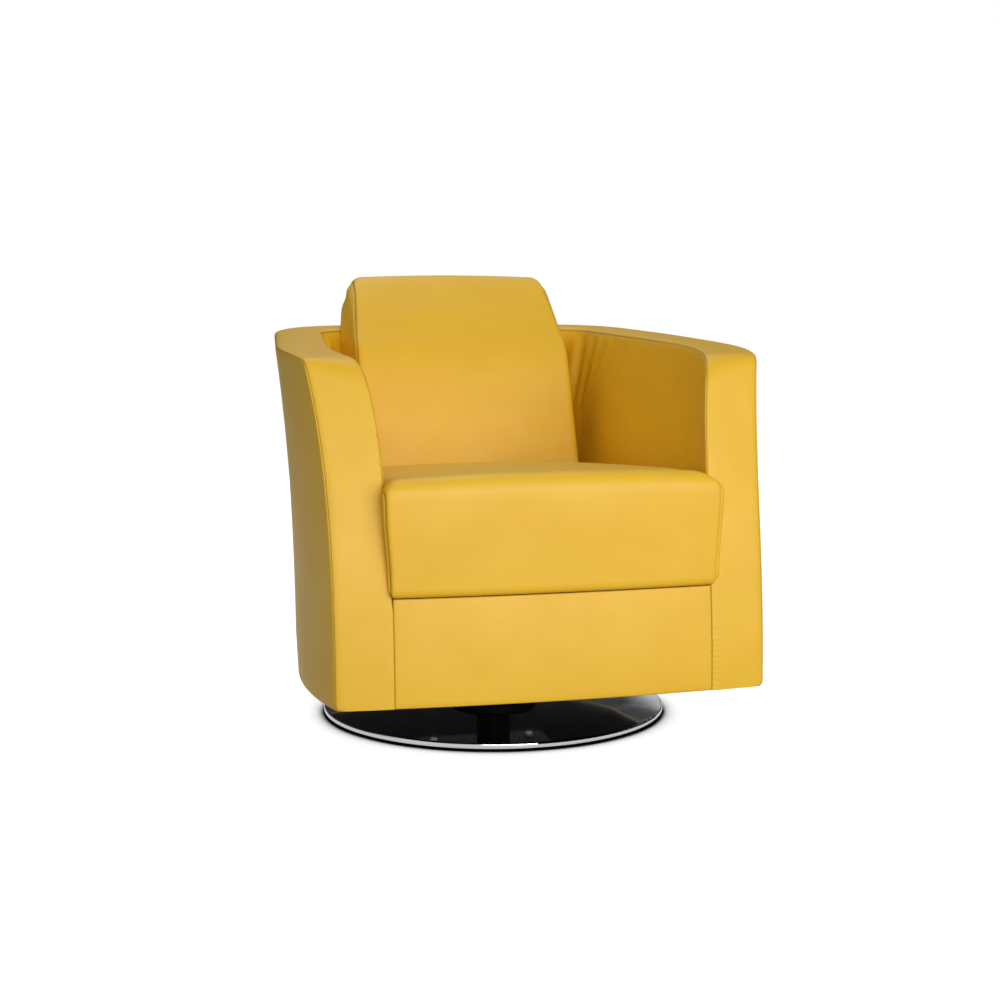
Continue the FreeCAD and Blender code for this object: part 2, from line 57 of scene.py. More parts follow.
def planAt(z):
    # arcs of the tub's plan at a height: bulging side, straight taper, rear corner and bowed back
    share = np.maximum(0.0, (z - tub["bottom"]) / (tub["rimHeight"] - tub["bottom"]))
    p = {}
    p["cornerX"] = tub["width"] / 2 - tub["frontNip"] + tub["frontFlare"] * share ** 4
    p["cornerY"] = -tub["depth"] / 2 + tub["armLean"] * share ** 2
    wideX = tub["width"] / 2 + tub["sideFlare"] * share ** 2.3
    wideY = -tub["depth"] / 2 + tub["widestSetback"] + tub["widestShift"] * share ** 1.5
    backY = tub["depth"] / 2 + tub["backLean"] * share ** 1.6
    p["bulge"] = ((wideX - p["cornerX"]) ** 2 + (p["cornerY"] - wideY) ** 2) / (2 * (wideX - p["cornerX"]))
    p["sideX"], p["sideY"] = wideX - p["bulge"], wideY
    nx, ny = math.cos(tub["sideTaper"]), math.sin(tub["sideTaper"])
    p["lineReach"] = p["sideX"] * nx + p["sideY"] * ny + p["bulge"]
    reach = p["lineReach"] - tub["cornerRadius"]
    p["backC"] = backY - tub["backRadius"]
    lift = np.sqrt((tub["backRadius"] - tub["cornerRadius"]) ** 2 - (reach - ny * p["backC"]) ** 2)
    slide = nx * p["backC"] + lift
    p["rearX"], p["rearY"] = nx * reach - ny * slide, ny * reach + nx * slide
    p["start"] = np.arctan2(p["cornerY"] - p["sideY"], p["cornerX"] - p["sideX"])
    p["rearEnd"] = np.arctan2(p["rearY"] - p["backC"], p["rearX"])
    p["sideRun"] = p["bulge"] * (tub["sideTaper"] - p["start"])
    p["lineRun"] = -ny * (p["rearX"] - p["sideX"]) + nx * (p["rearY"] - p["sideY"])
    p["rearRun"] = tub["cornerRadius"] * (p["rearEnd"] - tub["sideTaper"])
    p["backRun"] = tub["backRadius"] * (math.pi / 2 - p["rearEnd"])
    p["halfRun"] = p["sideRun"] + p["lineRun"] + p["rearRun"] + p["backRun"]
    # the seam at the rear corner, where the wall faces 45 degrees to the rear
    p["seamRun"] = p["sideRun"] + p["lineRun"] + tub["cornerRadius"] * (math.pi / 4 - tub["sideTaper"])
    p["frontR"] = (p["cornerX"] ** 2 + tub["frontBow"] ** 2) / (2 * tub["frontBow"])
    p["frontC"] = p["cornerY"] - tub["frontBow"] + p["frontR"]
    return p


def wallPoint(run, z, inset):
    # a point of the right wall, by its run from the front corner along the outer face
    p = planAt(z)
    nx, ny = math.cos(tub["sideTaper"]), math.sin(tub["sideTaper"])
    onLine, onRear = run - p["sideRun"], run - p["sideRun"] - p["lineRun"]
    onBack = onRear - p["rearRun"]
    angle = np.where(onLine < 0, p["start"] + run / p["bulge"], tub["sideTaper"])
    angle = np.where(onRear > 0, tub["sideTaper"] + onRear / tub["cornerRadius"], angle)
    angle = np.where(onBack > 0, p["rearEnd"] + onBack / tub["backRadius"], angle)
    c, s = np.cos(angle), np.sin(angle)
    x = p["sideX"] + p["bulge"] * c - ny * np.clip(onLine, 0, None)
    y = p["sideY"] + p["bulge"] * s + nx * np.clip(onLine, 0, None)
    x = np.where(onRear > 0, p["rearX"] + tub["cornerRadius"] * c, x)
    y = np.where(onRear > 0, p["rearY"] + tub["cornerRadius"] * s, y)
    x = np.where(onBack > 0, tub["backRadius"] * c, x)
    y = np.where(onBack > 0, p["backC"] + tub["backRadius"] * s, y)
    return x - inset * c, y - inset * s


def frontRun(z, inset):
    # run of the front corner of the wall at a depth below the outer face
    p = planAt(z)
    dx, dy = -p["sideX"], p["frontC"] - p["sideY"]
    apart = np.hypot(dx, dy)
    r1, r2 = p["bulge"] - inset, p["frontR"]
    along = (r1 ** 2 - r2 ** 2 + apart ** 2) / (2 * apart)
    across = np.sqrt(r1 ** 2 - along ** 2)
    x = p["sideX"] + (along * dx + across * dy) / apart
    y = p["sideY"] + (along * dy - across * dx) / apart
    return p["bulge"] * (np.arctan2(y - p["sideY"], x - p["sideX"]) - p["start"])


def footRound(z):
    # the outer hide turns in under the tub
    under = np.clip(tub["footRound"] - (z - tub["bottom"]), 0, tub["footRound"])
    return tub["footRound"] - np.sqrt(tub["footRound"] ** 2 - under ** 2)


def frontFace(x, z):
    p = planAt(z)
    return p["frontC"] - np.sqrt(p["frontR"] ** 2 - x ** 2)


def innerHalf(y, z, inset):
    # half width of the hollow at a place along the chair
    p = planAt(z)
    nx, ny = math.cos(tub["sideTaper"]), math.sin(tub["sideTaper"])
    r = p["bulge"] - inset
    x = p["sideX"] + np.sqrt(np.maximum(r ** 2 - (y - p["sideY"]) ** 2, 0))
    x = np.where(y > p["sideY"] + r * ny, (p["lineReach"] - inset - ny * y) / nx, x)
    r = tub["cornerRadius"] - inset
    arc = p["rearX"] + np.sqrt(np.maximum(r ** 2 - (y - p["rearY"]) ** 2, 0))
    return np.where(y > p["rearY"] + r * ny, arc, x)


def rimSeam(y, run, inner):
    # height of the rim seams, from the outer one to the inner one
    plane = tub["rimHeight"] + tub["rimRise"] * (y + tub["depth"] / 2 - tub["armLean"])
    drop = tub["seamDrop"] + (tub["innerDrop"] - tub["seamDrop"]) * inner
    reach = tub["seamDropReach"] + (tub["innerDropReach"] - tub["seamDropReach"]) * inner
    return plane + tub["seamRise"] - drop * np.exp(-run / reach)


def seamGive(z, side, run):
    # sideways push of the inner seam, which fades where the seam has turned onto the arm top
    left = np.interp(z, *np.array(tub["giveLeft"]).T)
    right = np.interp(z, *np.array(tub["giveRight"]).T)
    push = np.where(side < 0, left, right)
    return push * np.clip(1 - run / (band["turnInner"] * math.tan(band["turn"] / 2)), 0, 1)


def hollowHalf(y, z, clear):
    # half width open to a cushion: ahead of the arm fronts it keeps the width between them
    thick = tub["armThickness"] * np.ones_like(z)
    ahead = wallPoint(frontRun(z, thick), z, thick)[1]
    return innerHalf(np.maximum(y, ahead), z, tub["armThickness"]) - clear, ahead


def deckHeight(y):
    return tub["deckFront"] + tub["deckSlope"] * (y + tub["depth"] / 2 + tub["frontBow"])


def stops(length, edge, step, arc=8):
    # shares of a length: rows crowd together at both ends, as a rounded edge needs
    near = edge * (1 - np.cos(np.linspace(0, math.pi / 2, arc)))
    count = max(2, int(round((length - 2 * edge) / step)))
    middle = np.linspace(edge, length - edge, count + 1)[1:-1]
    return np.concatenate([near, middle, length - near[::-1]]) / length


def smooth(x, low, high):
    t = np.clip((x - low) / (high - low), 0, 1)
    return t * t * (3 - 2 * t)


def gridNormals(grid):
    a, b = np.gradient(grid, axis=0), np.gradient(grid, axis=1)
    n = np.cross(a, b)
    return n / np.maximum(np.linalg.norm(n, axis=2, keepdims=True), 1e-9)


def edgeRuns(grid):
    # distance of each point from the four sides of a grid, and its run along columns and rows
    du = np.linalg.norm(np.diff(grid, axis=0), axis=2)
    dv = np.linalg.norm(np.diff(grid, axis=1), axis=2)
    u = np.concatenate([np.zeros((1, grid.shape[1])), np.cumsum(du, axis=0)])
    v = np.concatenate([np.zeros((grid.shape[0], 1)), np.cumsum(dv, axis=1)], axis=1)
    return {"u0": u, "u1": u[-1:, :] - u, "v0": v, "v1": v[:, -1:] - v}, u, v


def roundedEdge(distance, reach):
    # rise of a stuffed panel from its seam: a quarter ellipse
    t = np.clip(distance / reach, 0, 1)
    return np.sqrt(np.maximum(1 - (1 - t) ** 2, 0))


def meshPoints(piece):
    flat = np.empty(len(piece.data.vertices) * 3)
    piece.data.vertices.foreach_get("co", flat)
    return flat.reshape(-1, 3)


def movePoints(piece, points):
    piece.data.vertices.foreach_set("co", points.ravel())
    piece.data.update()


def gridPiece(name, grid, fields):
    # a mesh grid, moved point by point to its place, with named values kept on its points
    columns, rows = grid.shape[:2]
    bpy.ops.object.select_all(action="DESELECT")
    bpy.ops.mesh.primitive_grid_add(x_subdivisions=columns - 1, y_subdivisions=rows - 1, size=1)
    piece = bpy.context.object
    piece.name = piece.data.name = name
    share = meshPoints(piece) + 0.5
    i = np.rint(share[:, 0] * (columns - 1)).astype(int)
    j = np.rint(share[:, 1] * (rows - 1)).astype(int)
    for key, values in fields.items():
        layer = piece.data.attributes.new(key, "FLOAT", "POINT")
        layer.data.foreach_set("value", values[i, j].astype(np.float32))
    movePoints(piece, grid[i, j] * mm)
    return piece


def faceOut(piece, outward):
    # turns the faces over if most of them look the wrong way
    normals = np.empty(len(piece.data.polygons) * 3)
    piece.data.polygons.foreach_get("normal", normals)
    centres = np.empty(len(piece.data.polygons) * 3)
    piece.data.polygons.foreach_get("center", centres)
    if np.sum(normals.reshape(-1, 3) * outward(centres.reshape(-1, 3) / mm)) < 0:
        piece.data.flip_normals()
    piece.data.update()


def selectOnly(piece):
    bpy.ops.object.select_all(action="DESELECT")
    bpy.context.view_layer.objects.active = piece
    piece.select_set(True)


def useModifier(piece, kind, **settings):
    selectOnly(piece)
    bpy.ops.object.modifier_add(type=kind)
    modifier = piece.modifiers[-1]
    for key, value in settings.items():
        setattr(modifier, key, value)
    bpy.ops.object.modifier_apply(modifier=modifier.name)


def smoothShade(piece):
    selectOnly(piece)
    bpy.ops.object.shade_smooth()


leatherCut = {"thickness": 2.0, "tuck": 6.0, "cornerColumns": 3, "cornerRows": 8, "far": 1000.0}


def leatherPanel(name, grid, seams, puff, reach, outward, shape=None, tuck=leatherCut["tuck"]):
    # a panel that rises from its seams like a thin pillow, with its edges tucked in behind
    edges, u, v = edgeRuns(grid)
    normal = gridNormals(grid)
    if np.sum(normal.reshape(-1, 3) * outward(grid.reshape(-1, 3))) < 0:
        normal = -normal
    # where an edge turns sharply at a corner, the way out is taken from just inside it
    c, r = leatherCut["cornerColumns"], leatherCut["cornerRows"]
    normal[:c, -r:] = normal[c + 1, -r - 1]
    normal[-c:, -r:] = normal[-c - 2, -r - 1]
    rise = np.ones(grid.shape[:2])
    nearest = np.full(grid.shape[:2], leatherCut["far"])
    alongSeam = np.zeros(grid.shape[:2])
    for side in seams:
        rise = np.minimum(rise, roundedEdge(edges[side], reach))
        closer = edges[side] < nearest
        nearest = np.where(closer, edges[side], nearest)
        alongSeam = np.where(closer, v if side[0] == "u" else u, alongSeam)
    offset = puff * rise
    if shape is not None:
        offset = offset + shape
    grid = grid + normal * offset[..., None]
    fields = {"seamDistance": nearest, "seamRun": alongSeam}

    def tuckIn(axis, first):
        # one more row behind an edge, turned inwards
        nonlocal grid, normal, fields
        take = [slice(None), slice(None)]
        take[axis] = slice(0, 1) if first else slice(-1, None)
        take = tuple(take)
        row = grid[take] - normal[take] * tuck
        parts = [row, grid] if first else [grid, row]
        grid = np.concatenate(parts, axis=axis)
        parts = [normal[take], normal] if first else [normal, normal[take]]
        normal = np.concatenate(parts, axis=axis)
        for key, value in fields.items():
            parts = [value[take], value] if first else [value, value[take]]
            fields[key] = np.concatenate(parts, axis=axis)

    for side in seams:
        tuckIn(0 if side[0] == "u" else 1, side[1] == "0")
    piece = gridPiece(name, grid, fields)
    faceOut(piece, outward)
    useModifier(piece, "SOLIDIFY", thickness=leatherCut["thickness"] * mm, offset=-1.0, use_rim=True)
    smoothShade(piece)
    return piece


def fromAxis(sign):
    # away from the middle of the chair, or towards it
    def way(points):
        flat = points * np.array([1.0, 1.0, 0.0])
        return sign * flat / np.maximum(np.linalg.norm(flat, axis=1, keepdims=True), 1e-9)
    return way


def towardsFrontAndUp(points):
    return np.tile(np.array([0.0, -0.7, 0.7]), (len(points), 1))


# colours and materials

def linear(text):
    # sRGB hex to linear colour
    parts = [int(text[k:k + 2], 16) / 255 for k in (1, 3, 5)]
    return tuple(c / 12.92 if c <= 0.04045 else ((c + 0.055) / 1.055) ** 2.4 for c in parts) + (1.0,)


def addNode(tree, kind, links=None, values=None, **settings):
    # one node with its settings, socket values and links
    node = tree.nodes.new(kind)
    for key, value in settings.items():
        setattr(node, key, value)
    for key, value in (values or {}).items():
        node.inputs[key].default_value = value
    for key, source in (links or {}).items():
        tree.links.new(source, node.inputs[key])
    return node


def newMaterial(name, values):
    material = bpy.data.materials.new(name)
    material.use_nodes = True
    tree = material.node_tree
    shader = tree.nodes["Principled BSDF"]
    for key, value in values.items():
        shader.inputs[key].default_value = value
    place = addNode(tree, "ShaderNodeTexCoord").outputs["Object"]
    return material, tree, shader, place


leatherLook = {
    "colour": "#E2B412", "deep": "#D6A60A", "seam": "#8A6408",
    "grainSize": 1.8, "poreSize": 0.7, "mottleSize": 110.0, "lumpSize": 85.0, "pucker": 9.0,  # millimetres
    "lineFrom": 0.2, "lineTo": 1.8, "lineDepth": 0.6,  # painted shade: the hide is darkened in the valley beside a seam
    "gatherFrom": 1.0, "gatherTo": 13.0,
}


def yellowLeather():
    # smooth semi-aniline cowhide: a soft broad sheen, a fine pebble grain and a slightly cloudy dye
    look = leatherLook
    m, t, s, place = newMaterial("yellowLeather", {"IOR": 1.45, "Specular IOR Level": 0.8})
    cloud = addNode(t, "ShaderNodeTexNoise", {"Vector": place},
                    {"Scale": 1000 / look["mottleSize"], "Detail": 4.0, "Roughness": 0.55})
    amount = addNode(t, "ShaderNodeMapRange", {"Value": cloud.outputs["Fac"]},
                     {"From Min": 0.38, "From Max": 0.72, "To Min": 0.0, "To Max": 0.30})
    dye = addNode(t, "ShaderNodeMix", {"Factor": amount.outputs["Result"]},
                  {6: linear(look["colour"]), 7: linear(look["deep"])}, data_type="RGBA")
    # painted shade: close to each seam the colour is drawn towards the dark seam colour, as if the groove lay
    # in shade
    near = addNode(t, "ShaderNodeAttribute", attribute_name="seamDistance")
    valley = addNode(t, "ShaderNodeMapRange", {"Value": near.outputs["Fac"]},
                     {"From Min": look["lineFrom"], "From Max": look["lineTo"],
                      "To Min": look["lineDepth"], "To Max": 0.0})
    paintedSeamShade = addNode(t, "ShaderNodeMix", {"Factor": valley.outputs["Result"], 6: dye.outputs[2]},
                   {7: linear(look["seam"])}, data_type="RGBA")
    t.links.new(paintedSeamShade.outputs[2], s.inputs["Base Color"])
    # pebble grain and pores: too fine for the whole chair at 1000 pixels, and shows in close views
    grain = addNode(t, "ShaderNodeTexVoronoi", {"Vector": place}, {"Scale": 1000 / look["grainSize"]},
                    feature="SMOOTH_F1")
    pores = addNode(t, "ShaderNodeTexNoise", {"Vector": place},
                    {"Scale": 1000 / look["poreSize"], "Detail": 2.0})
    skin = addNode(t, "ShaderNodeMath", {0: grain.outputs["Distance"], 1: pores.outputs["Fac"]},
                   operation="ADD")
    fine = addNode(t, "ShaderNodeBump", {"Height": skin.outputs["Value"]},
                   {"Strength": 0.10, "Distance": 0.0004})
    # the stuffing under the hide is never quite even
    lumps = addNode(t, "ShaderNodeTexNoise", {"Vector": place},
                    {"Scale": 1000 / look["lumpSize"], "Detail": 1.0})
    uneven = addNode(t, "ShaderNodeBump", {"Height": lumps.outputs["Fac"], "Normal": fine.outputs["Normal"]},
                     {"Strength": 0.32, "Distance": 0.006})
    # little gathers beside each seam, where the thread pulls the hide in
    run = addNode(t, "ShaderNodeAttribute", attribute_name="seamRun")
    turns = addNode(t, "ShaderNodeMath", {0: run.outputs["Fac"]}, {1: 2 * math.pi / look["pucker"]},
                    operation="MULTIPLY")
    wave = addNode(t, "ShaderNodeMath", {0: turns.outputs["Value"]}, operation="SINE")
    fade = addNode(t, "ShaderNodeMapRange", {"Value": near.outputs["Fac"]},
                   {"From Min": look["gatherFrom"], "From Max": look["gatherTo"],
                    "To Min": 1.0, "To Max": 0.0})
    gather = addNode(t, "ShaderNodeMath", {0: wave.outputs["Value"], 1: fade.outputs["Result"]},
                     operation="MULTIPLY")
    soft = addNode(t, "ShaderNodeBump",
                   {"Height": gather.outputs["Value"], "Normal": uneven.outputs["Normal"]},
                   {"Strength": 0.12, "Distance": 0.001})
    t.links.new(soft.outputs["Normal"], s.inputs["Normal"])
    shine = addNode(t, "ShaderNodeMapRange", {"Value": cloud.outputs["Fac"]},
                    {"From Min": 0.3, "From Max": 0.7, "To Min": 0.50, "To Max": 0.57})
    t.links.new(shine.outputs["Result"], s.inputs["Roughness"])
    return m


def polishedChrome(colour, hazeSize):
    # bright chrome plate: a clear mirror with the faintest wiping haze
    m, t, s, place = newMaterial("polishedChrome", {"Metallic": 1.0, "Base Color": linear(colour)})
    haze = addNode(t, "ShaderNodeTexNoise", {"Vector": place}, {"Scale": 1000 / hazeSize, "Detail": 5.0})
    rough = addNode(t, "ShaderNodeMapRange", {"Value": haze.outputs["Fac"]},
                    {"From Min": 0.35, "From Max": 0.75, "To Min": 0.035, "To Max": 0.075})
    t.links.new(rough.outputs["Result"], s.inputs["Roughness"])
    return m


def plainFinish(name, colour, other, size, rough, metallic=0.0, bump=0.0, stretch=(1, 1, 1), gloss=0.5):
    # a finish with two close tones that drift over a real size, and a little relief
    values = {"Metallic": metallic, "Roughness": rough, "Specular IOR Level": gloss}
    m, t, s, place = newMaterial(name, values)
    turned = addNode(t, "ShaderNodeMapping", {"Vector": place}, {"Scale": stretch})
    drift = addNode(t, "ShaderNodeTexNoise", {"Vector": turned.outputs["Vector"]},
                    {"Scale": 1000 / size, "Detail": 5.0, "Roughness": 0.6})
    tone = addNode(t, "ShaderNodeMix", {"Factor": drift.outputs["Fac"]},
                   {6: linear(colour), 7: linear(other)}, data_type="RGBA")
    t.links.new(tone.outputs[2], s.inputs["Base Color"])
    if bump:
        relief = addNode(t, "ShaderNodeBump", {"Height": drift.outputs["Fac"]},
                         {"Strength": 0.3, "Distance": bump * mm})
        t.links.new(relief.outputs["Normal"], s.inputs["Normal"])
    return m


waveTurn = 20.0  # the wave node's own factor


def wovenCloth(name, colour, other, thread):
    # plain woven dust cover: over and under threads, dull at every angle; the threads are too fine to show,
    # so they are drawn about six times as coarse
    m, t, s, place = newMaterial(name, {"Roughness": 0.92, "Specular IOR Level": 0.05})
    threads = []
    for way in ("X", "Y"):
        wave = addNode(t, "ShaderNodeTexWave", {"Vector": place}, {"Scale": 1000 / thread / waveTurn},
                       bands_direction=way)
        threads.append(wave.outputs["Fac"])
    weave = addNode(t, "ShaderNodeMath", dict(enumerate(threads)), operation="MULTIPLY")
    tone = addNode(t, "ShaderNodeMix", {"Factor": weave.outputs["Value"]},
                   {6: linear(colour), 7: linear(other)}, data_type="RGBA")
    t.links.new(tone.outputs[2], s.inputs["Base Color"])
    relief = addNode(t, "ShaderNodeBump", {"Height": weave.outputs["Value"]},
                     {"Strength": 0.4, "Distance": 0.0004})
    t.links.new(relief.outputs["Normal"], s.inputs["Normal"])
    return m


leather = yellowLeather()
finishes = {
    polishedChrome("#DCDEE0", 60.0): ["base_disc"],
    # pressed wool felt: dull black with a fuzzy face
    plainFinish("blackFelt", "#131313", "#1F1F20", 3.0, 0.95, bump=0.5): ["floor_pad"],
    # baked powder coat: an even dull black, finely pebbled; its colour is set below a real black coat,
    # painted shade so the post reads as the deep shade under the chair
    plainFinish("blackPowderCoat", "#030303", "#060607", 2.5, 0.6, bump=0.05, gloss=0.08):
        ["swivel_post", "swivel_plate", "spindle_circlip"],
    # bright zinc plating: grey metal, clouded rather than mirror bright
    plainFinish("zincPlate", "#9A9C9B", "#B4B5B0", 14.0, 0.34, metallic=1.0):
        ["flange_screws", "swivel_spindle", "plate_bolts", "tee_nuts", "seat_springs", "spring_clips"],
    # moulded nylon: off-white and waxy
    plainFinish("nylon", "#E6E3D8", "#D9D5C7", 20.0, 0.5): ["upper_bush", "lower_bush"],
    # birch plywood: pale, with its face grain across the chair
    plainFinish("birchPly", "#CBA877", "#B98F5C", 30.0, 0.6, bump=0.2, stretch=(0.15, 1, 1)):
        ["base_board", "rim_board"],
    # planed beech: warm tan with a fine upright grain
    plainFinish("beech", "#C89B6A", "#B98552", 22.0, 0.55, bump=0.2, stretch=(1, 1, 0.12)):
        ["front_bearer", "rear_bearer", "arm_post_left", "arm_post_right", "side_posts_left",
         "side_posts_right", "back_posts", "front_rail", "rear_rail", "side_rail_left", "side_rail_right"],
    # pressed hardboard: brown, mottled and dull
    plainFinish("hardboard", "#7A5A38", "#6A4C2D", 9.0, 0.75, bump=0.1):
        ["lining_left", "lining_right", "lining_back"],
    # needled felt: grey and fibrous
    plainFinish("greyFelt", "#8E8C88", "#75736F", 5.0, 0.95, bump=0.5): ["seat_deck"],
    # black dust cover, partly painted shade: its colour is set below a real black cloth so the underside
    # reads as deep shade
    wovenCloth("blackDustCloth", "#040404", "#0B0B0C", 1.2): ["bottom_cloth"],
}
for material, names in finishes.items():
    for name in names:
        slots = nodes[name].data.materials
        slots.clear()
        slots.append(material)
print("materials ready")


# the band over the arm fronts and the rim, one length of hide
band = {
    "frontPuff": 2.4, "frontReach": 13.0,
    "topPuff": 9.0, "topPuffFront": 3.0, "topReach": 42.0, "topReachFront": 22.0,
    "turnInner": 62.0, "turnMiddle": 42.0, "turnOuter": 20.0, "turn": math.radians(65.0), "rise": 0.92,
    "frontStep": 8.0, "topStep": 9.0, "turnRows": 14, "acrossStep": 5.0, "acrossEdge": 20.0, "edgeRows": 9,
    "frontLength": 500.0, "topLength": 1060.0, "turnGap": 6.0,
    "crownFrom": -190.0, "crownFull": 130.0,  # the crown of the top grows between these places
}

# outer panels, sewn at the arm fronts, the rim and the rear corners
allSides = ["u0", "u1", "v0", "v1"]
outerPanel = {
    "puff": 2.2, "reach": 10.0, "step": 9.0, "height": 535.0, "sideLength": 760.0, "backLength": 600.0,
}


def wallGrid(columns, rows, low, inset, runs, side, turn=0.0):
    # a grid on the wall: columns along it, rows from its lower edge up to the rim seam, which turns down
    # round the arm front as the band does
    c, r = np.meshgrid(columns, rows, indexing="ij")
    guess = tub["rimHeight"] * np.ones_like(c)
    run, mirror = runs(c, guess)
    fromFront = run - frontRun(guess, inset)
    inner = inset / tub["armThickness"]
    top = rimSeam(wallPoint(run, guess, inset)[1], fromFront, inner)
    reach = max(turn * math.tan(band["turn"] / 2), 1e-6)
    top = top - band["rise"] * reach * (1 - np.sqrt(np.clip(fromFront / reach, 0, 1))) ** 2
    z = low(c) + r * (top - low(c))
    run, mirror = runs(c, z)
    x, y = wallPoint(run, z, inset + (1 - inner) * footRound(z))
    x = x + inner * seamGive(z, mirror * side, run - frontRun(z, inset))
    return np.stack([x * mirror * side, y, z], axis=2)


def sideRuns(c, z):
    first = frontRun(z, footRound(z))
    return first + c * (planAt(z)["seamRun"] - first), np.ones_like(c)


def backRuns(c, z):
    p = planAt(z)
    run = p["seamRun"] + (p["halfRun"] - p["seamRun"]) * (1 - np.abs(2 * c - 1))
    return run, np.where(c < 0.5, 1.0, -1.0)


def innerRuns(c, z):
    p = planAt(z)
    first = frontRun(z, tub["armThickness"])
    return first + (p["halfRun"] - first) * (1 - np.abs(2 * c - 1)), np.where(c < 0.5, 1.0, -1.0)


def bottomEdge(c):
    return tub["bottom"] * np.ones_like(c)


upRows = stops(outerPanel["height"], outerPanel["reach"], outerPanel["step"])
sideColumns = stops(outerPanel["sideLength"], outerPanel["reach"], outerPanel["step"])
backColumns = stops(outerPanel["backLength"], outerPanel["reach"], outerPanel["step"])
outerPieces = {}
for name, side in (("left", -1), ("right", 1)):
    grid = wallGrid(sideColumns, upRows, bottomEdge, 0.0, sideRuns, side, band["turnOuter"])
    piece = leatherPanel("outerPanel_" + name, grid, allSides, outerPanel["puff"], outerPanel["reach"],
                         fromAxis(1))
    outerPieces[piece] = ["outer_cover_" + name, "outer_padding_" + name]
grid = wallGrid(backColumns, upRows, bottomEdge, 0.0, backRuns, 1)
piece = leatherPanel("outerPanel_back", grid, allSides, outerPanel["puff"], outerPanel["reach"],
                     fromAxis(1))
outerPieces[piece] = ["outer_cover_back", "outer_padding_back"]
print("outer panels made")


def bandHalf(across, side):
    # half of the band, laid out on the right, from the foot of the arm front to the middle of the back
    c = across[None, :]
    inset = tub["armThickness"] * (1 - c)
    radius = np.interp(c, [0.0, 0.5, 1.0], [band["turnInner"], band["turnMiddle"], band["turnOuter"]])
    reach = radius * math.tan(band["turn"] / 2)
    guess = tub["rimHeight"] * np.ones_like(c)

    def onTop(share):
        z = guess
        for _ in range(3):
            first = frontRun(z, inset)
            run = first + share * (planAt(z)["halfRun"] - first)
            x, y = wallPoint(run, z, inset)
            z = rimSeam(y, run - first, 1 - c)
        return np.stack([x + seamGive(z, side, run - first) * (1 - c) ** 2, y, z], axis=-1)

    def onFront(z):
        inner = wallPoint(frontRun(z, tub["armThickness"] * np.ones_like(z)), z, tub["armThickness"])[0]
        foot = footRound(z)
        outer = wallPoint(frontRun(z, foot), z, foot)[0]
        x = inner + (outer - inner) * c + seamGive(z, side, 0.0) * (1 - c) ** 2
        return np.stack([x, frontFace(x, z), z], axis=-1)

    corner = onTop(np.zeros_like(c))
    topLength = band["topLength"]
    startZ = corner[..., 2] - reach * band["rise"]
    rise = stops(band["frontLength"], band["frontReach"], band["frontStep"])
    rise = rise[rise < 1 - band["turnGap"] / band["frontLength"]]
    front = [onFront(tub["bottom"] + s * (startZ - tub["bottom"])) for s in rise]
    a, b = onFront(startZ), onTop(reach / topLength)
    turn = []
    for s in np.linspace(0, 1, band["turnRows"]):
        turn.append((1 - s) ** 2 * a + 2 * s * (1 - s) * corner + s ** 2 * b)
    count = int(topLength / band["topStep"])
    top = [onTop(reach / topLength + (1 - reach / topLength) * s) for s in np.linspace(0, 1, count)[1:]]
    onTheTop = [0.0] * len(front) + list(smooth(np.linspace(0, 1, len(turn)), 0.0, 1.0)) + [1.0] * len(top)
    return np.concatenate(front + turn + top, axis=0), np.array(onTheTop)


across = stops(tub["armThickness"], band["acrossEdge"], band["acrossStep"], band["edgeRows"])
half, topShare = bandHalf(across, 1)
mirrored = bandHalf(across, -1)[0][::-1][1:] * np.array([-1.0, 1.0, 1.0])
grid = np.concatenate([half, mirrored], axis=0)
topShare = np.concatenate([topShare, topShare[::-1][1:]])[:, None]
edges, _, _ = edgeRuns(grid)
nearest = np.minimum(edges["v0"], edges["v1"])
rearward = smooth(grid[..., 1], band["crownFrom"], band["crownFull"])
topReach = band["topReachFront"] + (band["topReach"] - band["topReachFront"]) * rearward
bandReach = band["frontReach"] + (topReach - band["frontReach"]) * topShare
topPuff = band["topPuffFront"] + (band["topPuff"] - band["topPuffFront"]) * rearward
bandPuff = band["frontPuff"] + (topPuff - band["frontPuff"]) * topShare
shape = bandPuff * roundedEdge(nearest, bandReach)
rimBand = leatherPanel("rimBand", grid, allSides, 0.0, band["frontReach"], towardsFrontAndUp, shape)
print("band made")

# inner lining of the hollow, with folds where it turns the rear corners beside the back cushion
innerPanel = {
    "puff": 2.5, "reach": 18.0, "step": 6.0, "below": 8.0, "tuck": 2.5, "length": 1990.0, "height": 400.0,
}
foldList = [(1.00, 5.0, 11.0), (0.72, 4.5, 12.0), (0.46, 3.7, 13.0), (0.22, 2.4, 15.0)]  # place, depth, width
foldFan = {
    "topSpread": 165.0, "lowSpread": 40.0, "lowZ": 470.0, "highZ": 640.0, "firstFromBack": 300.0,
    "fadeLow": (450.0, 540.0), "fadeHigh": (634.0, 656.0), "cornerX": (150.0, 215.0),
    "valley": 0.6, "valleyAway": 1.5,  # each fold has a shallow valley beside it
}


def lowerEdge(c):
    # the lining ends below the seat deck
    z = tub["rimHeight"] * np.ones_like(c)
    run, _ = innerRuns(c, z)
    return deckHeight(wallPoint(run, z, tub["armThickness"])[1]) - innerPanel["below"]


def liningFolds(grid):
    # soft folds that fan out upwards on each rear corner
    x, y, z = grid[..., 0], grid[..., 1], grid[..., 2]
    depth = np.zeros(x.shape)
    share = np.clip((z - foldFan["lowZ"]) / (foldFan["highZ"] - foldFan["lowZ"]), 0, 1)
    spread = foldFan["lowSpread"] + (foldFan["topSpread"] - foldFan["lowSpread"]) * share
    fade = smooth(z, *foldFan["fadeLow"]) * (1 - smooth(z, *foldFan["fadeHigh"]))
    for place, amount, width in foldList:
        centre = foldFan["firstFromBack"] - (1 - place) * spread
        away = (y - centre) / width
        valley = foldFan["valley"] * np.exp(-(away + foldFan["valleyAway"]) ** 2)
        depth += amount * (np.exp(-away ** 2) - valley) * fade
    return depth * smooth(np.abs(x), *foldFan["cornerX"])


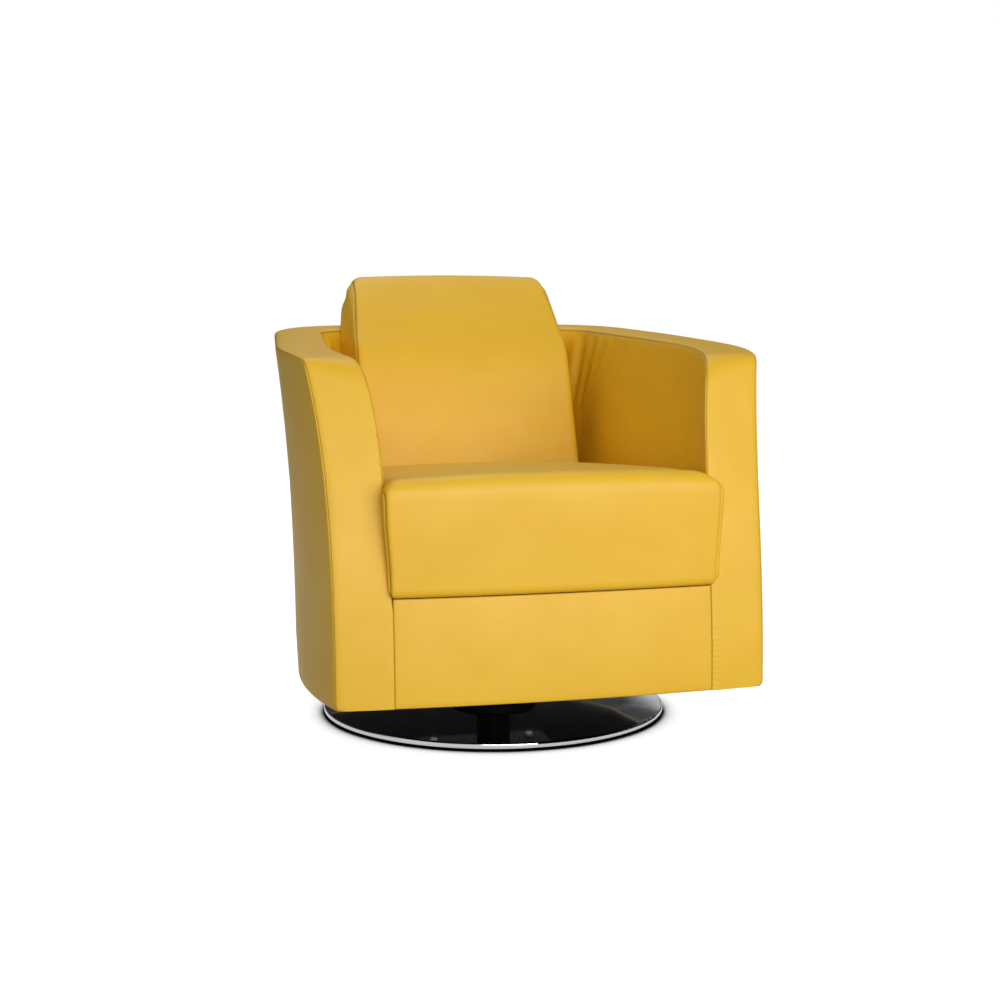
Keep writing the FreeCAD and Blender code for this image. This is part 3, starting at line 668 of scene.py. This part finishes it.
innerColumns = stops(innerPanel["length"], innerPanel["reach"], innerPanel["step"])
innerRows = stops(innerPanel["height"], innerPanel["reach"], innerPanel["step"])
grid = wallGrid(innerColumns, innerRows, lowerEdge, tub["armThickness"], innerRuns, 1, band["turnInner"])
innerLining = leatherPanel("innerLining", grid, ["u0", "u1", "v1"], innerPanel["puff"], innerPanel["reach"],
                           fromAxis(-1), liningFolds(grid), innerPanel["tuck"])
print("lining made")

# front panel below the seat
frontPanel = {"puff": 1.4, "reach": 10.0, "step": 8.0, "topDrop": 1.5, "width": 524.0, "height": 170.0}


def frontGrid():
    columns = stops(frontPanel["width"], frontPanel["reach"], frontPanel["step"])
    rows = stops(frontPanel["height"], frontPanel["reach"], frontPanel["step"])
    c, r = np.meshgrid(columns, rows, indexing="ij")
    z = tub["bottom"] + r * (tub["deckFront"] - frontPanel["topDrop"] - tub["bottom"])
    inner = wallPoint(frontRun(z, tub["armThickness"] * np.ones_like(z)), z, tub["armThickness"])[0]
    x = inner * (2 * c - 1)
    return np.stack([x, frontFace(x, z), z], axis=2)


def towardsFront(points):
    return np.tile(np.array([0.0, -1.0, 0.0]), (len(points), 1))


frontPiece = leatherPanel("frontPanel", frontGrid(), allSides, frontPanel["puff"], frontPanel["reach"],
                          towardsFront)
print("front panel made")


# cushions: a sleeve of hide round a side profile, closed by a sewn-in boxing at each end

def roundedLoop(corners, radii, step, facet=2.5):
    # evenly spaced points of a closed profile with round corners
    points = []
    n = len(corners)
    for k in range(n):
        p, a, b = np.array(corners[k]), np.array(corners[k - 1]), np.array(corners[(k + 1) % n])
        toA, toB = (a - p) / np.linalg.norm(a - p), (b - p) / np.linalg.norm(b - p)
        reach = radii[k] / math.tan(math.acos(np.clip(toA @ toB, -1, 1)) / 2)
        start, end = p + toA * reach, p + toB * reach
        rows = max(3, int(radii[k] / facet))
        for s in np.linspace(0, 1, rows):
            points.append((1 - s) ** 2 * start + 2 * s * (1 - s) * p + s ** 2 * end)
    return resample(np.array(points), step)


def resample(points, step):
    closed = np.concatenate([points, points[:1]])
    run = np.concatenate([[0], np.cumsum(np.linalg.norm(np.diff(closed, axis=0), axis=1))])
    keep = np.concatenate([[True], np.diff(run) > 1e-6])
    count = int(round(run[-1] / step))
    s = np.linspace(0, run[-1], count, endpoint=False)
    return np.stack([np.interp(s, run[keep], closed[keep][:, k]) for k in (0, 1)], axis=1)


def loopNormals(loop):
    along = np.roll(loop, -1, axis=0) - np.roll(loop, 1, axis=0)
    n = np.stack([along[:, 1], -along[:, 0]], axis=1)
    n /= np.linalg.norm(n, axis=1, keepdims=True)
    middle = loop.mean(axis=0)
    return n if np.sum((loop - middle) * n) > 0 else -n


def cushionGrid(loop, halfWidth, radius, stations, capRings, bulge, spine):
    # columns round the profile, rows from one end's middle over the sleeve to the other's
    normal = loopNormals(loop)
    width = halfWidth(loop)
    middle = spine(loop)
    rows, ends = [], []
    for a in stations:
        r = radius(normal, a)
        over = r - np.minimum((1 - abs(a)) * width, r)
        inset = r - np.sqrt(np.maximum(r ** 2 - over ** 2, 0))
        ring = loop - normal * inset[:, None]
        rows.append(np.column_stack([a * halfWidth(ring), ring]))
    for sign, first in ((-1, True), (1, False)):
        edge = rows[0] if first else rows[-1]
        rings = []
        for s in capRings:
            ring = edge.copy()
            ring[:, 1:] = middle + (edge[:, 1:] - middle) * (1 - s)
            away = s * np.linalg.norm(edge[:, 1:] - middle, axis=1)
            ring[:, 0] = edge[:, 0] * (1 - s) + s * edge[:, 0].mean() + sign * bulge(ring, away, sign)
            rings.append(ring)
        ends.append(rings)
    order = ends[0][::-1] + rows + ends[1]
    seamRows = [len(capRings), len(capRings) + len(rows) - 1]
    return np.stack(order, axis=1), seamRows


def closeCushion(name, grid, fields):
    # the grid is joined along its length and closed at both ends
    grid = np.concatenate([grid, grid[:1]], axis=0)
    fields = {key: np.concatenate([value, value[:1]], axis=0) for key, value in fields.items()}
    piece = gridPiece(name, grid, fields)
    bpy.ops.object.mode_set(mode="EDIT")
    bpy.ops.mesh.select_all(action="SELECT")
    bpy.ops.mesh.remove_doubles(threshold=0.00002)
    bpy.ops.mesh.select_all(action="DESELECT")
    bpy.ops.mesh.select_non_manifold()
    bpy.ops.mesh.fill(use_beauty=True)
    bpy.ops.mesh.select_all(action="SELECT")
    bpy.ops.mesh.normals_make_consistent(inside=False)
    bpy.ops.object.mode_set(mode="OBJECT")
    return piece


cloth = {
    "quality": 6, "mass": 0.4, "stiffness": 22.0, "shear": 13.2, "bending": 6.0, "frames": 20,
    "leastHold": 0.01, "evenings": 60, "holdPower": 0.05,  # the swelling is evened out so many times
}


def inflate(piece, hold, pressure, swell):
    # the cover swells over its filling between held seams; the swelling is evened out and scaled to a height
    scene = bpy.context.scene
    before = meshPoints(piece)
    group = piece.vertex_groups.new(name="held")
    for index in np.nonzero(hold > cloth["leastHold"])[0]:
        group.add([int(index)], float(hold[index]), "REPLACE")
    bpy.context.view_layer.objects.active = piece
    modifier = piece.modifiers.new("swell", "CLOTH")
    fabric = modifier.settings
    fabric.quality = cloth["quality"]
    fabric.mass = cloth["mass"]
    fabric.tension_stiffness = fabric.compression_stiffness = cloth["stiffness"]
    fabric.shear_stiffness = cloth["shear"]
    fabric.bending_stiffness = cloth["bending"]
    fabric.use_pressure = True
    fabric.uniform_pressure_force = pressure
    fabric.vertex_group_mass = "held"
    fabric.effector_weights.gravity = 0.0
    modifier.collision_settings.use_collision = False
    modifier.point_cache.frame_start, modifier.point_cache.frame_end = 1, cloth["frames"]
    for number in range(1, cloth["frames"] + 1):
        scene.frame_set(number)
    move = meshPoints(piece.evaluated_get(bpy.context.evaluated_depsgraph_get())) - before
    piece.modifiers.remove(modifier)
    piece.vertex_groups.clear()
    ends = np.empty(len(piece.data.edges) * 2, np.int32)
    piece.data.edges.foreach_get("vertices", ends)
    ends = ends.reshape(-1, 2)
    count = np.bincount(ends.ravel(), minlength=len(move))[:, None]
    for _ in range(cloth["evenings"]):
        total = np.zeros_like(move)
        np.add.at(total, ends[:, 0], move[ends[:, 1]])
        np.add.at(total, ends[:, 1], move[ends[:, 0]])
        move = (0.5 * move + 0.5 * total / count) * (1 - hold)[:, None] ** cloth["holdPower"]
    highest = float(np.linalg.norm(move, axis=1).max())
    move *= min(1.0, swell * mm / max(highest, 1e-9))
    movePoints(piece, before + move)
    scene.frame_set(1)
    print(piece.name, "swelled by up to", round(highest / mm, 1), "mm before the cap")


def seamFields(grid, seamRows):
    # distance from the nearest seam row and the run along it
    _, u, v = edgeRuns(grid)
    away = np.min([np.abs(v - v[:, k:k + 1]) for k in seamRows], axis=0)
    run = np.repeat(u[:, seamRows[0]:seamRows[0] + 1], grid.shape[1], axis=1)
    return {"seamDistance": away, "seamRun": run}


def pointValues(piece, key):
    values = np.empty(len(piece.data.vertices), np.float32)
    piece.data.attributes[key].data.foreach_get("value", values)
    return values


def sewSeams(piece, depth, reach):
    # pulls the seams in, so that the hide on both sides stands up beside the thread
    normals = np.empty(len(piece.data.vertices) * 3)
    piece.data.vertex_normals.foreach_get("vector", normals)
    pull = depth * mm * (1 - roundedEdge(pointValues(piece, "seamDistance"), reach))
    movePoints(piece, meshPoints(piece) - normals.reshape(-1, 3) * pull[:, None])


cushionRows = 1 - np.cos(np.linspace(0, math.pi / 2, 10))
capRings = [0.01, 0.03, 0.06, 0.10, 0.16, 0.25, 0.4, 0.6]


def crossStations(cushion):
    # places across a cushion, from -1 to 1, closer together near its end seams
    near = cushionRows * cushion["endReach"] / cushion["halfWidth"]
    middle = np.linspace(near[-1], 2 - near[-1], cushion["rows"])[1:-1]
    return np.concatenate([near, middle, 2 - near[::-1]]) - 1


def finishCushion(piece, cushion, held):
    # swells the cover, sews its seams and rounds it off
    hold = held(meshPoints(piece) / mm, pointValues(piece, "seamDistance"))
    inflate(piece, hold, cushion["pressure"], cushion["swell"])
    sewSeams(piece, cushion["seamDepth"], cushion["seamReach"])
    useModifier(piece, "SUBSURF", levels=1, render_levels=1)
    smoothShade(piece)
    return piece


seat = {
    "height": 182.0, "gap": 0.6, "proud": 14.0, "backClear": 4.0, "sideClear": 1.5, "step": 7.0, "rows": 62,
    "frontBottom": 9.0, "frontTop": 34.0, "backTop": 30.0, "backBottom": 10.0,  # radii of its side profile
    # radii beside the end seams
    "endTopLeft": 26.0, "endTopRight": 42.0, "endFront": 6.0, "endBottom": 7.0, "endBack": 28.0,
    "endReach": 42.0, "halfWidth": 262.0,
    # how far the front swells out past the arms, at its foot and above
    "spill": 8.0, "spillHigh": 13.0, "spillHeights": (20.0, 130.0), "spillAhead": 30.0, "spillBehind": 25.0,
    # the boxing swells out between its seams ahead of the arms
    "boxingLeft": 3.0, "boxingRight": 8.0, "boxingReach": 9.0, "boxingFade": (25.0, 90.0), "spineIn": 70.0,
    "crown": 7.0, "crownHalf": 268.0, "crownHeights": (90.0, 178.0),
    # the cover is held at its seams, foot and rear while it swells
    "pressure": 3.0, "swell": 6.0, "seamDepth": 2.4, "seamReach": 9.0,
    "holdSeam": (2.0, 26.0), "holdFoot": (4.0, 40.0), "holdRear": (150.0, 200.0),
}


def seatCushion():
    middleFront = float(frontFace(np.array(0.0), np.array(tub["deckFront"])))
    frontY = middleFront - seat["proud"]
    backY = tub["depth"] / 2 - tub["armThickness"] - seat["backClear"]
    low, high = seat["gap"], seat["height"]
    corners = [(frontY, low), (frontY, high), (backY, high), (backY, low)]
    radii = [seat["frontBottom"], seat["frontTop"], seat["backTop"], seat["backBottom"]]
    loop = roundedLoop(corners, radii, seat["step"])

    def halfWidth(points):
        y, h = points[:, 0], points[:, 1]
        half, ahead = hollowHalf(y, deckHeight(y) + h, seat["sideClear"])
        spill = seat["spill"] + (seat["spillHigh"] - seat["spill"]) * smooth(h, *seat["spillHeights"])
        return half + spill * (1 - smooth(y, ahead - seat["spillAhead"], ahead + seat["spillBehind"]))

    def spine(points):
        y = np.clip(points[:, 0], frontY + seat["spineIn"], backY - seat["spineIn"])
        return np.column_stack([y, np.full(len(y), high / 2)])

    def endRadius(normal, a):
        y, h = normal[:, 0], normal[:, 1]
        top = seat["endTopLeft"] if a < 0 else seat["endTopRight"]
        return (top * np.maximum(h, 0) ** 2 + seat["endBottom"] * np.minimum(h, 0) ** 2
                + seat["endFront"] * np.minimum(y, 0) ** 2 + seat["endBack"] * np.maximum(y, 0) ** 2)

    def bulge(ring, away, sign):
        height = seat["boxingLeft"] if sign < 0 else seat["boxingRight"]
        start, end = seat["boxingFade"]
        ahead = 1 - smooth(ring[:, 1], frontY + start, frontY + end)
        return height * roundedEdge(away, seat["boxingReach"]) * ahead

    grid, seamRows = cushionGrid(loop, halfWidth, endRadius, crossStations(seat), capRings, bulge, spine)
    # lay it on the slope of the deck, bow the front and crown the top
    x, y, h = grid[..., 0], grid[..., 1], grid[..., 2]
    bow = frontFace(x, tub["deckFront"] * np.ones_like(x)) - middleFront
    toFront = np.clip((backY - y) / (backY - frontY), 0, 1)
    middleShare = np.clip(1 - (x / seat["crownHalf"]) ** 2, 0, 1)
    z = deckHeight(y) + h + seat["crown"] * middleShare * smooth(h, *seat["crownHeights"])
    grid = np.stack([x, y + bow * toFront, z], axis=2)

    def held(points, fromSeam):
        height = points[:, 2] - deckHeight(points[:, 1])
        edges = np.maximum(1 - smooth(fromSeam, *seat["holdSeam"]), 1 - smooth(height, *seat["holdFoot"]))
        return np.maximum(edges, smooth(points[:, 1], *seat["holdRear"]))

    piece = closeCushion("seatCushion", grid, seamFields(grid, seamRows))
    return finishCushion(piece, seat, held)


seatPiece = seatCushion()
print("seat cushion made")

backRest = {
    "front": [(150.0, 404.0), (203.0, 598.0), (258.0, 670.0), (310.0, 727.0), (348.0, 760.0)],
    "rear": [(372.0, 766.0), (387.0, 742.0), (349.0, 660.0), (341.0, 600.0), (326.0, 440.0), (320.0, 402.0)],
    # height and half width of the front seams
    "halfWidths": [(393.0, 207.0), (518.0, 202.0), (600.0, 200.0), (646.0, 198.0), (697.0, 191.0),
                   (739.0, 186.0), (770.0, 185.0)],
    "linePoints": 16, "step": 6.0, "rows": 58,
    "topZ": 770.0, "topRound": 18.0, "topFall": 4.0, "topHalf": 180.0, "fallHeights": (620.0, 760.0),
    # the boxing widens towards its rear seam, and swells above the arms
    "spread": 18.0, "spreadDepth": 75.0, "spreadFade": (705.0, 764.0),
    "boxing": 2.0, "boxingReach": 14.0, "boxingFrom": (560.0, 660.0), "boxingTo": (690.0, 740.0),
    # below the rim it stays clear of the walls
    "wallClear": 2.0, "wallTop": 650.0, "rimZ": 660.0, "leastHalf": 150.0, "spineZ": (430.0, 735.0),
    # radii beside the end seams
    "endTop": 9.0, "endTopTurn": (0.72, 0.98), "endFront": 9.0, "endBack": 16.0, "endBottom": 8.0,
    "endReach": 34.0, "halfWidth": 206.0,
    # the cover is held at its seams, foot and rear while it swells
    "pressure": 3.0, "swell": 4.5, "seamDepth": 2.2, "seamReach": 8.0,
    "holdSeam": (2.0, 24.0), "holdFoot": (405.0, 440.0), "holdRear": (290.0, 325.0),
}


def throughPoints(points, count):
    # a smooth line through a few points
    p = np.array(points)
    p = np.concatenate([2 * p[:1] - p[1:2], p, 2 * p[-1:] - p[-2:-1]])
    line = []
    for k in range(1, len(p) - 2):
        for s in np.linspace(0, 1, count, endpoint=False):
            line.append(0.5 * (2 * p[k] + (p[k + 1] - p[k - 1]) * s
                               + (2 * p[k - 1] - 5 * p[k] + 4 * p[k + 1] - p[k + 2]) * s ** 2
                               + (3 * p[k] - p[k - 1] - 3 * p[k + 1] + p[k + 2]) * s ** 3))
    return np.array(line + [p[-2]])


def backCushion():
    outline = throughPoints(backRest["front"] + backRest["rear"], backRest["linePoints"])
    loop = resample(outline, backRest["step"])
    frontLine = throughPoints(backRest["front"], backRest["linePoints"])
    rearLine = np.array(backRest["rear"][:0:-1])

    def halfWidth(points):
        y, z = points[:, 0], points[:, 1]
        half = np.interp(z, *np.array(backRest["halfWidths"]).T)
        behind = np.clip((y - np.interp(z, frontLine[:, 1], frontLine[:, 0])) / backRest["spreadDepth"], 0, 1)
        half = half + backRest["spread"] * behind * (1 - smooth(z, *backRest["spreadFade"]))
        # round top corners
        r = backRest["topRound"]
        into = np.clip(r - (backRest["topZ"] - z), 0, r)
        half = half - (r - np.sqrt(r ** 2 - into ** 2))
        room = innerHalf(y, np.minimum(z, backRest["wallTop"]), tub["armThickness"]) - backRest["wallClear"]
        room = np.maximum(room, backRest["leastHalf"])
        return np.where(z < backRest["rimZ"], np.minimum(half, room), half)

    def spine(points):
        # half way between the front and the rear at each height
        z = np.clip(points[:, 1], *backRest["spineZ"])
        lines = [np.interp(z, line[:, 1], line[:, 0]) for line in (frontLine, rearLine)]
        return np.column_stack([(lines[0] + lines[1]) / 2, z])

    def endRadius(normal, a):
        y, z = normal[:, 0], normal[:, 1]
        top = backRest["endTop"] * smooth(z, *backRest["endTopTurn"])
        return (top + backRest["endBottom"] * np.minimum(z, 0) ** 2
                + backRest["endFront"] * np.minimum(y, 0) ** 2 + backRest["endBack"] * np.maximum(y, 0) ** 2)

    def bulge(ring, away, sign):
        z = ring[:, 2]
        here = smooth(z, *backRest["boxingFrom"]) * (1 - smooth(z, *backRest["boxingTo"]))
        return backRest["boxing"] * roundedEdge(away, backRest["boxingReach"]) * here

    grid, seamRows = cushionGrid(loop, halfWidth, endRadius, crossStations(backRest), capRings, bulge, spine)
    # the top edge is a little lower at its ends
    fall = (grid[..., 0] / backRest["topHalf"]) ** 2 * smooth(grid[..., 2], *backRest["fallHeights"])
    grid[..., 2] -= backRest["topFall"] * fall

    def held(points, fromSeam):
        foot = 1 - smooth(points[:, 2], *backRest["holdFoot"])
        edges = np.maximum(1 - smooth(fromSeam, *backRest["holdSeam"]), foot)
        return np.maximum(edges, smooth(points[:, 1], *backRest["holdRear"]))

    piece = closeCushion("backCushion", grid, seamFields(grid, seamRows))
    return finishCushion(piece, backRest, held)


backPiece = backCushion()
print("back cushion made")

# what each leather piece stands for, with the padding under it
standsFor = dict(outerPieces)
standsFor[rimBand] = ["rim_band_left", "rim_band_right", "rim_band_back", "rim_padding",
                      "arm_front_padding_left", "arm_front_padding_right"]
standsFor[innerLining] = ["inner_cover_left", "inner_cover_right", "inner_cover_back",
                          "inner_padding_left", "inner_padding_right", "inner_padding_back"]
standsFor[frontPiece] = ["front_panel", "front_padding"]
standsFor[seatPiece] = ["seat_cushion_cover", "seat_cushion_core"]
standsFor[backPiece] = ["back_cushion_cover", "back_cushion_core"]
for piece, hidden in standsFor.items():
    piece.data.materials.clear()
    piece.data.materials.append(leather)
    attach(piece, "chair")
    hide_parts(*hidden)

# studio: white floor that keeps the shadow, with a painted contact shadow added, soft light from the front
studio = {
    "floorSize": 14.0, "floorColour": "#8C8C8C", "floorGlow": 1.0, "floorMirror": 0.65,
    "worldLight": 0.31, "mirrorFront": 0.75, "mirrorBack": 0.04, "mirrorTurn": 0.3,
    # a slanted pale strip behind, which shows at the right end of the disc
    "strip": 0.63, "stripWay": (0.70, 0.0, -1.0), "stripFrom": (-0.007, -0.003), "stripTo": (0.04, 0.05),
    "contact": 0.06, "contactFrom": 0.62, "contactShadowColour": "#0A0A0A",  # painted contact shadow: the dark line round the disc
    "key": {"place": (0.5, -3.7, 1.3), "aim": (0.0, 0.0, 0.42), "size": (4.4, 2.3), "power": 125.0,
            "tint": (1.0, 0.95, 0.93), "mirrored": True},
    "top": {"place": (-0.3, 1.6, 3.2), "aim": (0.0, 0.0, 0.4), "size": (2.8, 2.2), "power": 34.0,
            "tint": (1.0, 1.0, 1.0), "mirrored": True},
    "rear": {"place": (0.9, 3.9, 0.6), "aim": (0.0, 0.0, 0.35), "size": (3.8, 1.0), "power": 55.0,
             "tint": (1.0, 1.0, 1.0), "mirrored": False},  # low, to fill the rear and leave the rim as it is
}


def whiteFloor():
    # plain paper sweep: matt, lifted to white for the camera and for mirrors, with the shadow left in and a
    # painted contact shadow: its glow and colour are darkened by ambient occlusion next to the disc
    material = bpy.data.materials.new("paperFloor")
    material.use_nodes = True
    tree = material.node_tree
    tree.nodes.clear()
    rays = addNode(tree, "ShaderNodeLightPath")
    # painted shadow: ambient occlusion near the disc lowers the floor's glow and turns its colour towards
    # near-black
    contact = addNode(tree, "ShaderNodeAmbientOcclusion", values={"Distance": studio["contact"]}, samples=8)
    clear = addNode(tree, "ShaderNodeMapRange", {"Value": contact.outputs["AO"]},
                    {"From Min": studio["contactFrom"], "From Max": 1.0,
                     "To Min": 0.0, "To Max": studio["floorGlow"]})
    # mirrors see the floor lit evenly
    toCamera = addNode(tree, "ShaderNodeMath", {0: rays.outputs["Is Camera Ray"], 1: clear.outputs["Result"]},
                       operation="MULTIPLY")
    toMirror = addNode(tree, "ShaderNodeMath", {0: rays.outputs["Is Glossy Ray"]}, {1: studio["floorMirror"]},
                       operation="MULTIPLY")
    glow = addNode(tree, "ShaderNodeMath", {0: toCamera.outputs["Value"], 1: toMirror.outputs["Value"]},
                   operation="ADD")
    light = addNode(tree, "ShaderNodeEmission", {"Strength": glow.outputs["Value"]}, {"Color": (1, 1, 1, 1)})
    paintedContactShadow = addNode(tree, "ShaderNodeMix", {"Factor": clear.outputs["Result"]},
                    {6: linear(studio["contactShadowColour"]), 7: linear(studio["floorColour"])}, data_type="RGBA")
    paper = addNode(tree, "ShaderNodeBsdfDiffuse", {"Color": paintedContactShadow.outputs[2]})
    total = addNode(tree, "ShaderNodeAddShader", {0: paper.outputs["BSDF"], 1: light.outputs["Emission"]})
    addNode(tree, "ShaderNodeOutputMaterial", {"Surface": total.outputs["Shader"]})
    return material


bpy.ops.object.select_all(action="DESELECT")
bpy.ops.mesh.primitive_plane_add(size=studio["floorSize"], location=(0, 0, 0))
floor = bpy.context.object
floor.name = "floor"
floor.data.materials.append(whiteFloor())

world = bpy.data.worlds.new("studioWorld")
bpy.context.scene.world = world
world.use_nodes = True
tree = world.node_tree
tree.nodes.clear()
rays = addNode(tree, "ShaderNodeLightPath")
# mirrors see a bright room ahead of the chair and a dark one behind it
way = addNode(tree, "ShaderNodeTexCoord")
parts = addNode(tree, "ShaderNodeSeparateXYZ", {"Vector": way.outputs["Generated"]})
room = addNode(tree, "ShaderNodeMapRange", {"Value": parts.outputs["Y"]},
               {"From Min": -studio["mirrorTurn"], "From Max": studio["mirrorTurn"],
                "To Min": studio["mirrorFront"], "To Max": studio["mirrorBack"]})
lean = addNode(tree, "ShaderNodeVectorMath", {0: way.outputs["Generated"]}, {1: studio["stripWay"]},
               operation="DOT_PRODUCT")
start, end = studio["stripFrom"]
near = addNode(tree, "ShaderNodeMapRange", {"Value": lean.outputs["Value"]},
               {"From Min": start, "From Max": end, "To Min": 0.0, "To Max": studio["strip"]})
start, end = studio["stripTo"]
far = addNode(tree, "ShaderNodeMapRange", {"Value": lean.outputs["Value"]},
              {"From Min": start, "From Max": end, "To Min": studio["strip"], "To Max": 0.0})
strip = addNode(tree, "ShaderNodeMath", {0: near.outputs["Result"], 1: far.outputs["Result"]},
                operation="MINIMUM")
walls = addNode(tree, "ShaderNodeMath", {0: room.outputs["Result"], 1: strip.outputs["Value"]},
                operation="MAXIMUM")
mirror = addNode(tree, "ShaderNodeMix", {"Factor": rays.outputs["Is Glossy Ray"], 3: walls.outputs["Value"]},
                 {2: studio["worldLight"]})
level = addNode(tree, "ShaderNodeMath", {0: mirror.outputs[0], 1: rays.outputs["Is Camera Ray"]},
                operation="MAXIMUM")
sky = addNode(tree, "ShaderNodeBackground", {"Strength": level.outputs["Value"]}, {"Color": (1, 1, 1, 1)})
addNode(tree, "ShaderNodeOutputWorld", {"Surface": sky.outputs["Background"]})

for name in ("key", "top", "rear"):
    lamp = studio[name]
    data = bpy.data.lights.new(name + "Softbox", "AREA")
    data.shape = "RECTANGLE"
    data.size, data.size_y = lamp["size"]
    data.energy = lamp["power"]
    data.color = lamp["tint"]
    light = bpy.data.objects.new(name + "Softbox", data)
    light.location = lamp["place"]
    light.visible_glossy = lamp["mirrored"]
    light.rotation_euler = (Vector(lamp["aim"]) - Vector(lamp["place"])).to_track_quat("-Z", "Y").to_euler()
    bpy.context.scene.collection.objects.link(light)

# the photograph's viewpoint
view = {
    "place": (-0.7571, -2.9585, 0.7419), "pitch": 6.8927, "heading": 14.5786,  # metres and degrees
    "lens": 63.01, "sensor": 36.0,
}
cameraData = bpy.data.cameras.new("camera")
cameraData.lens = view["lens"]
cameraData.sensor_width = view["sensor"]
camera = bpy.data.objects.new("camera", cameraData)
camera.location = view["place"]
camera.rotation_euler = (math.radians(90 - view["pitch"]), 0.0, -math.radians(view["heading"]))
bpy.context.scene.collection.objects.link(camera)
bpy.context.scene.camera = camera
bpy.context.scene.view_settings.view_transform = "Standard"
print("studio and camera set")
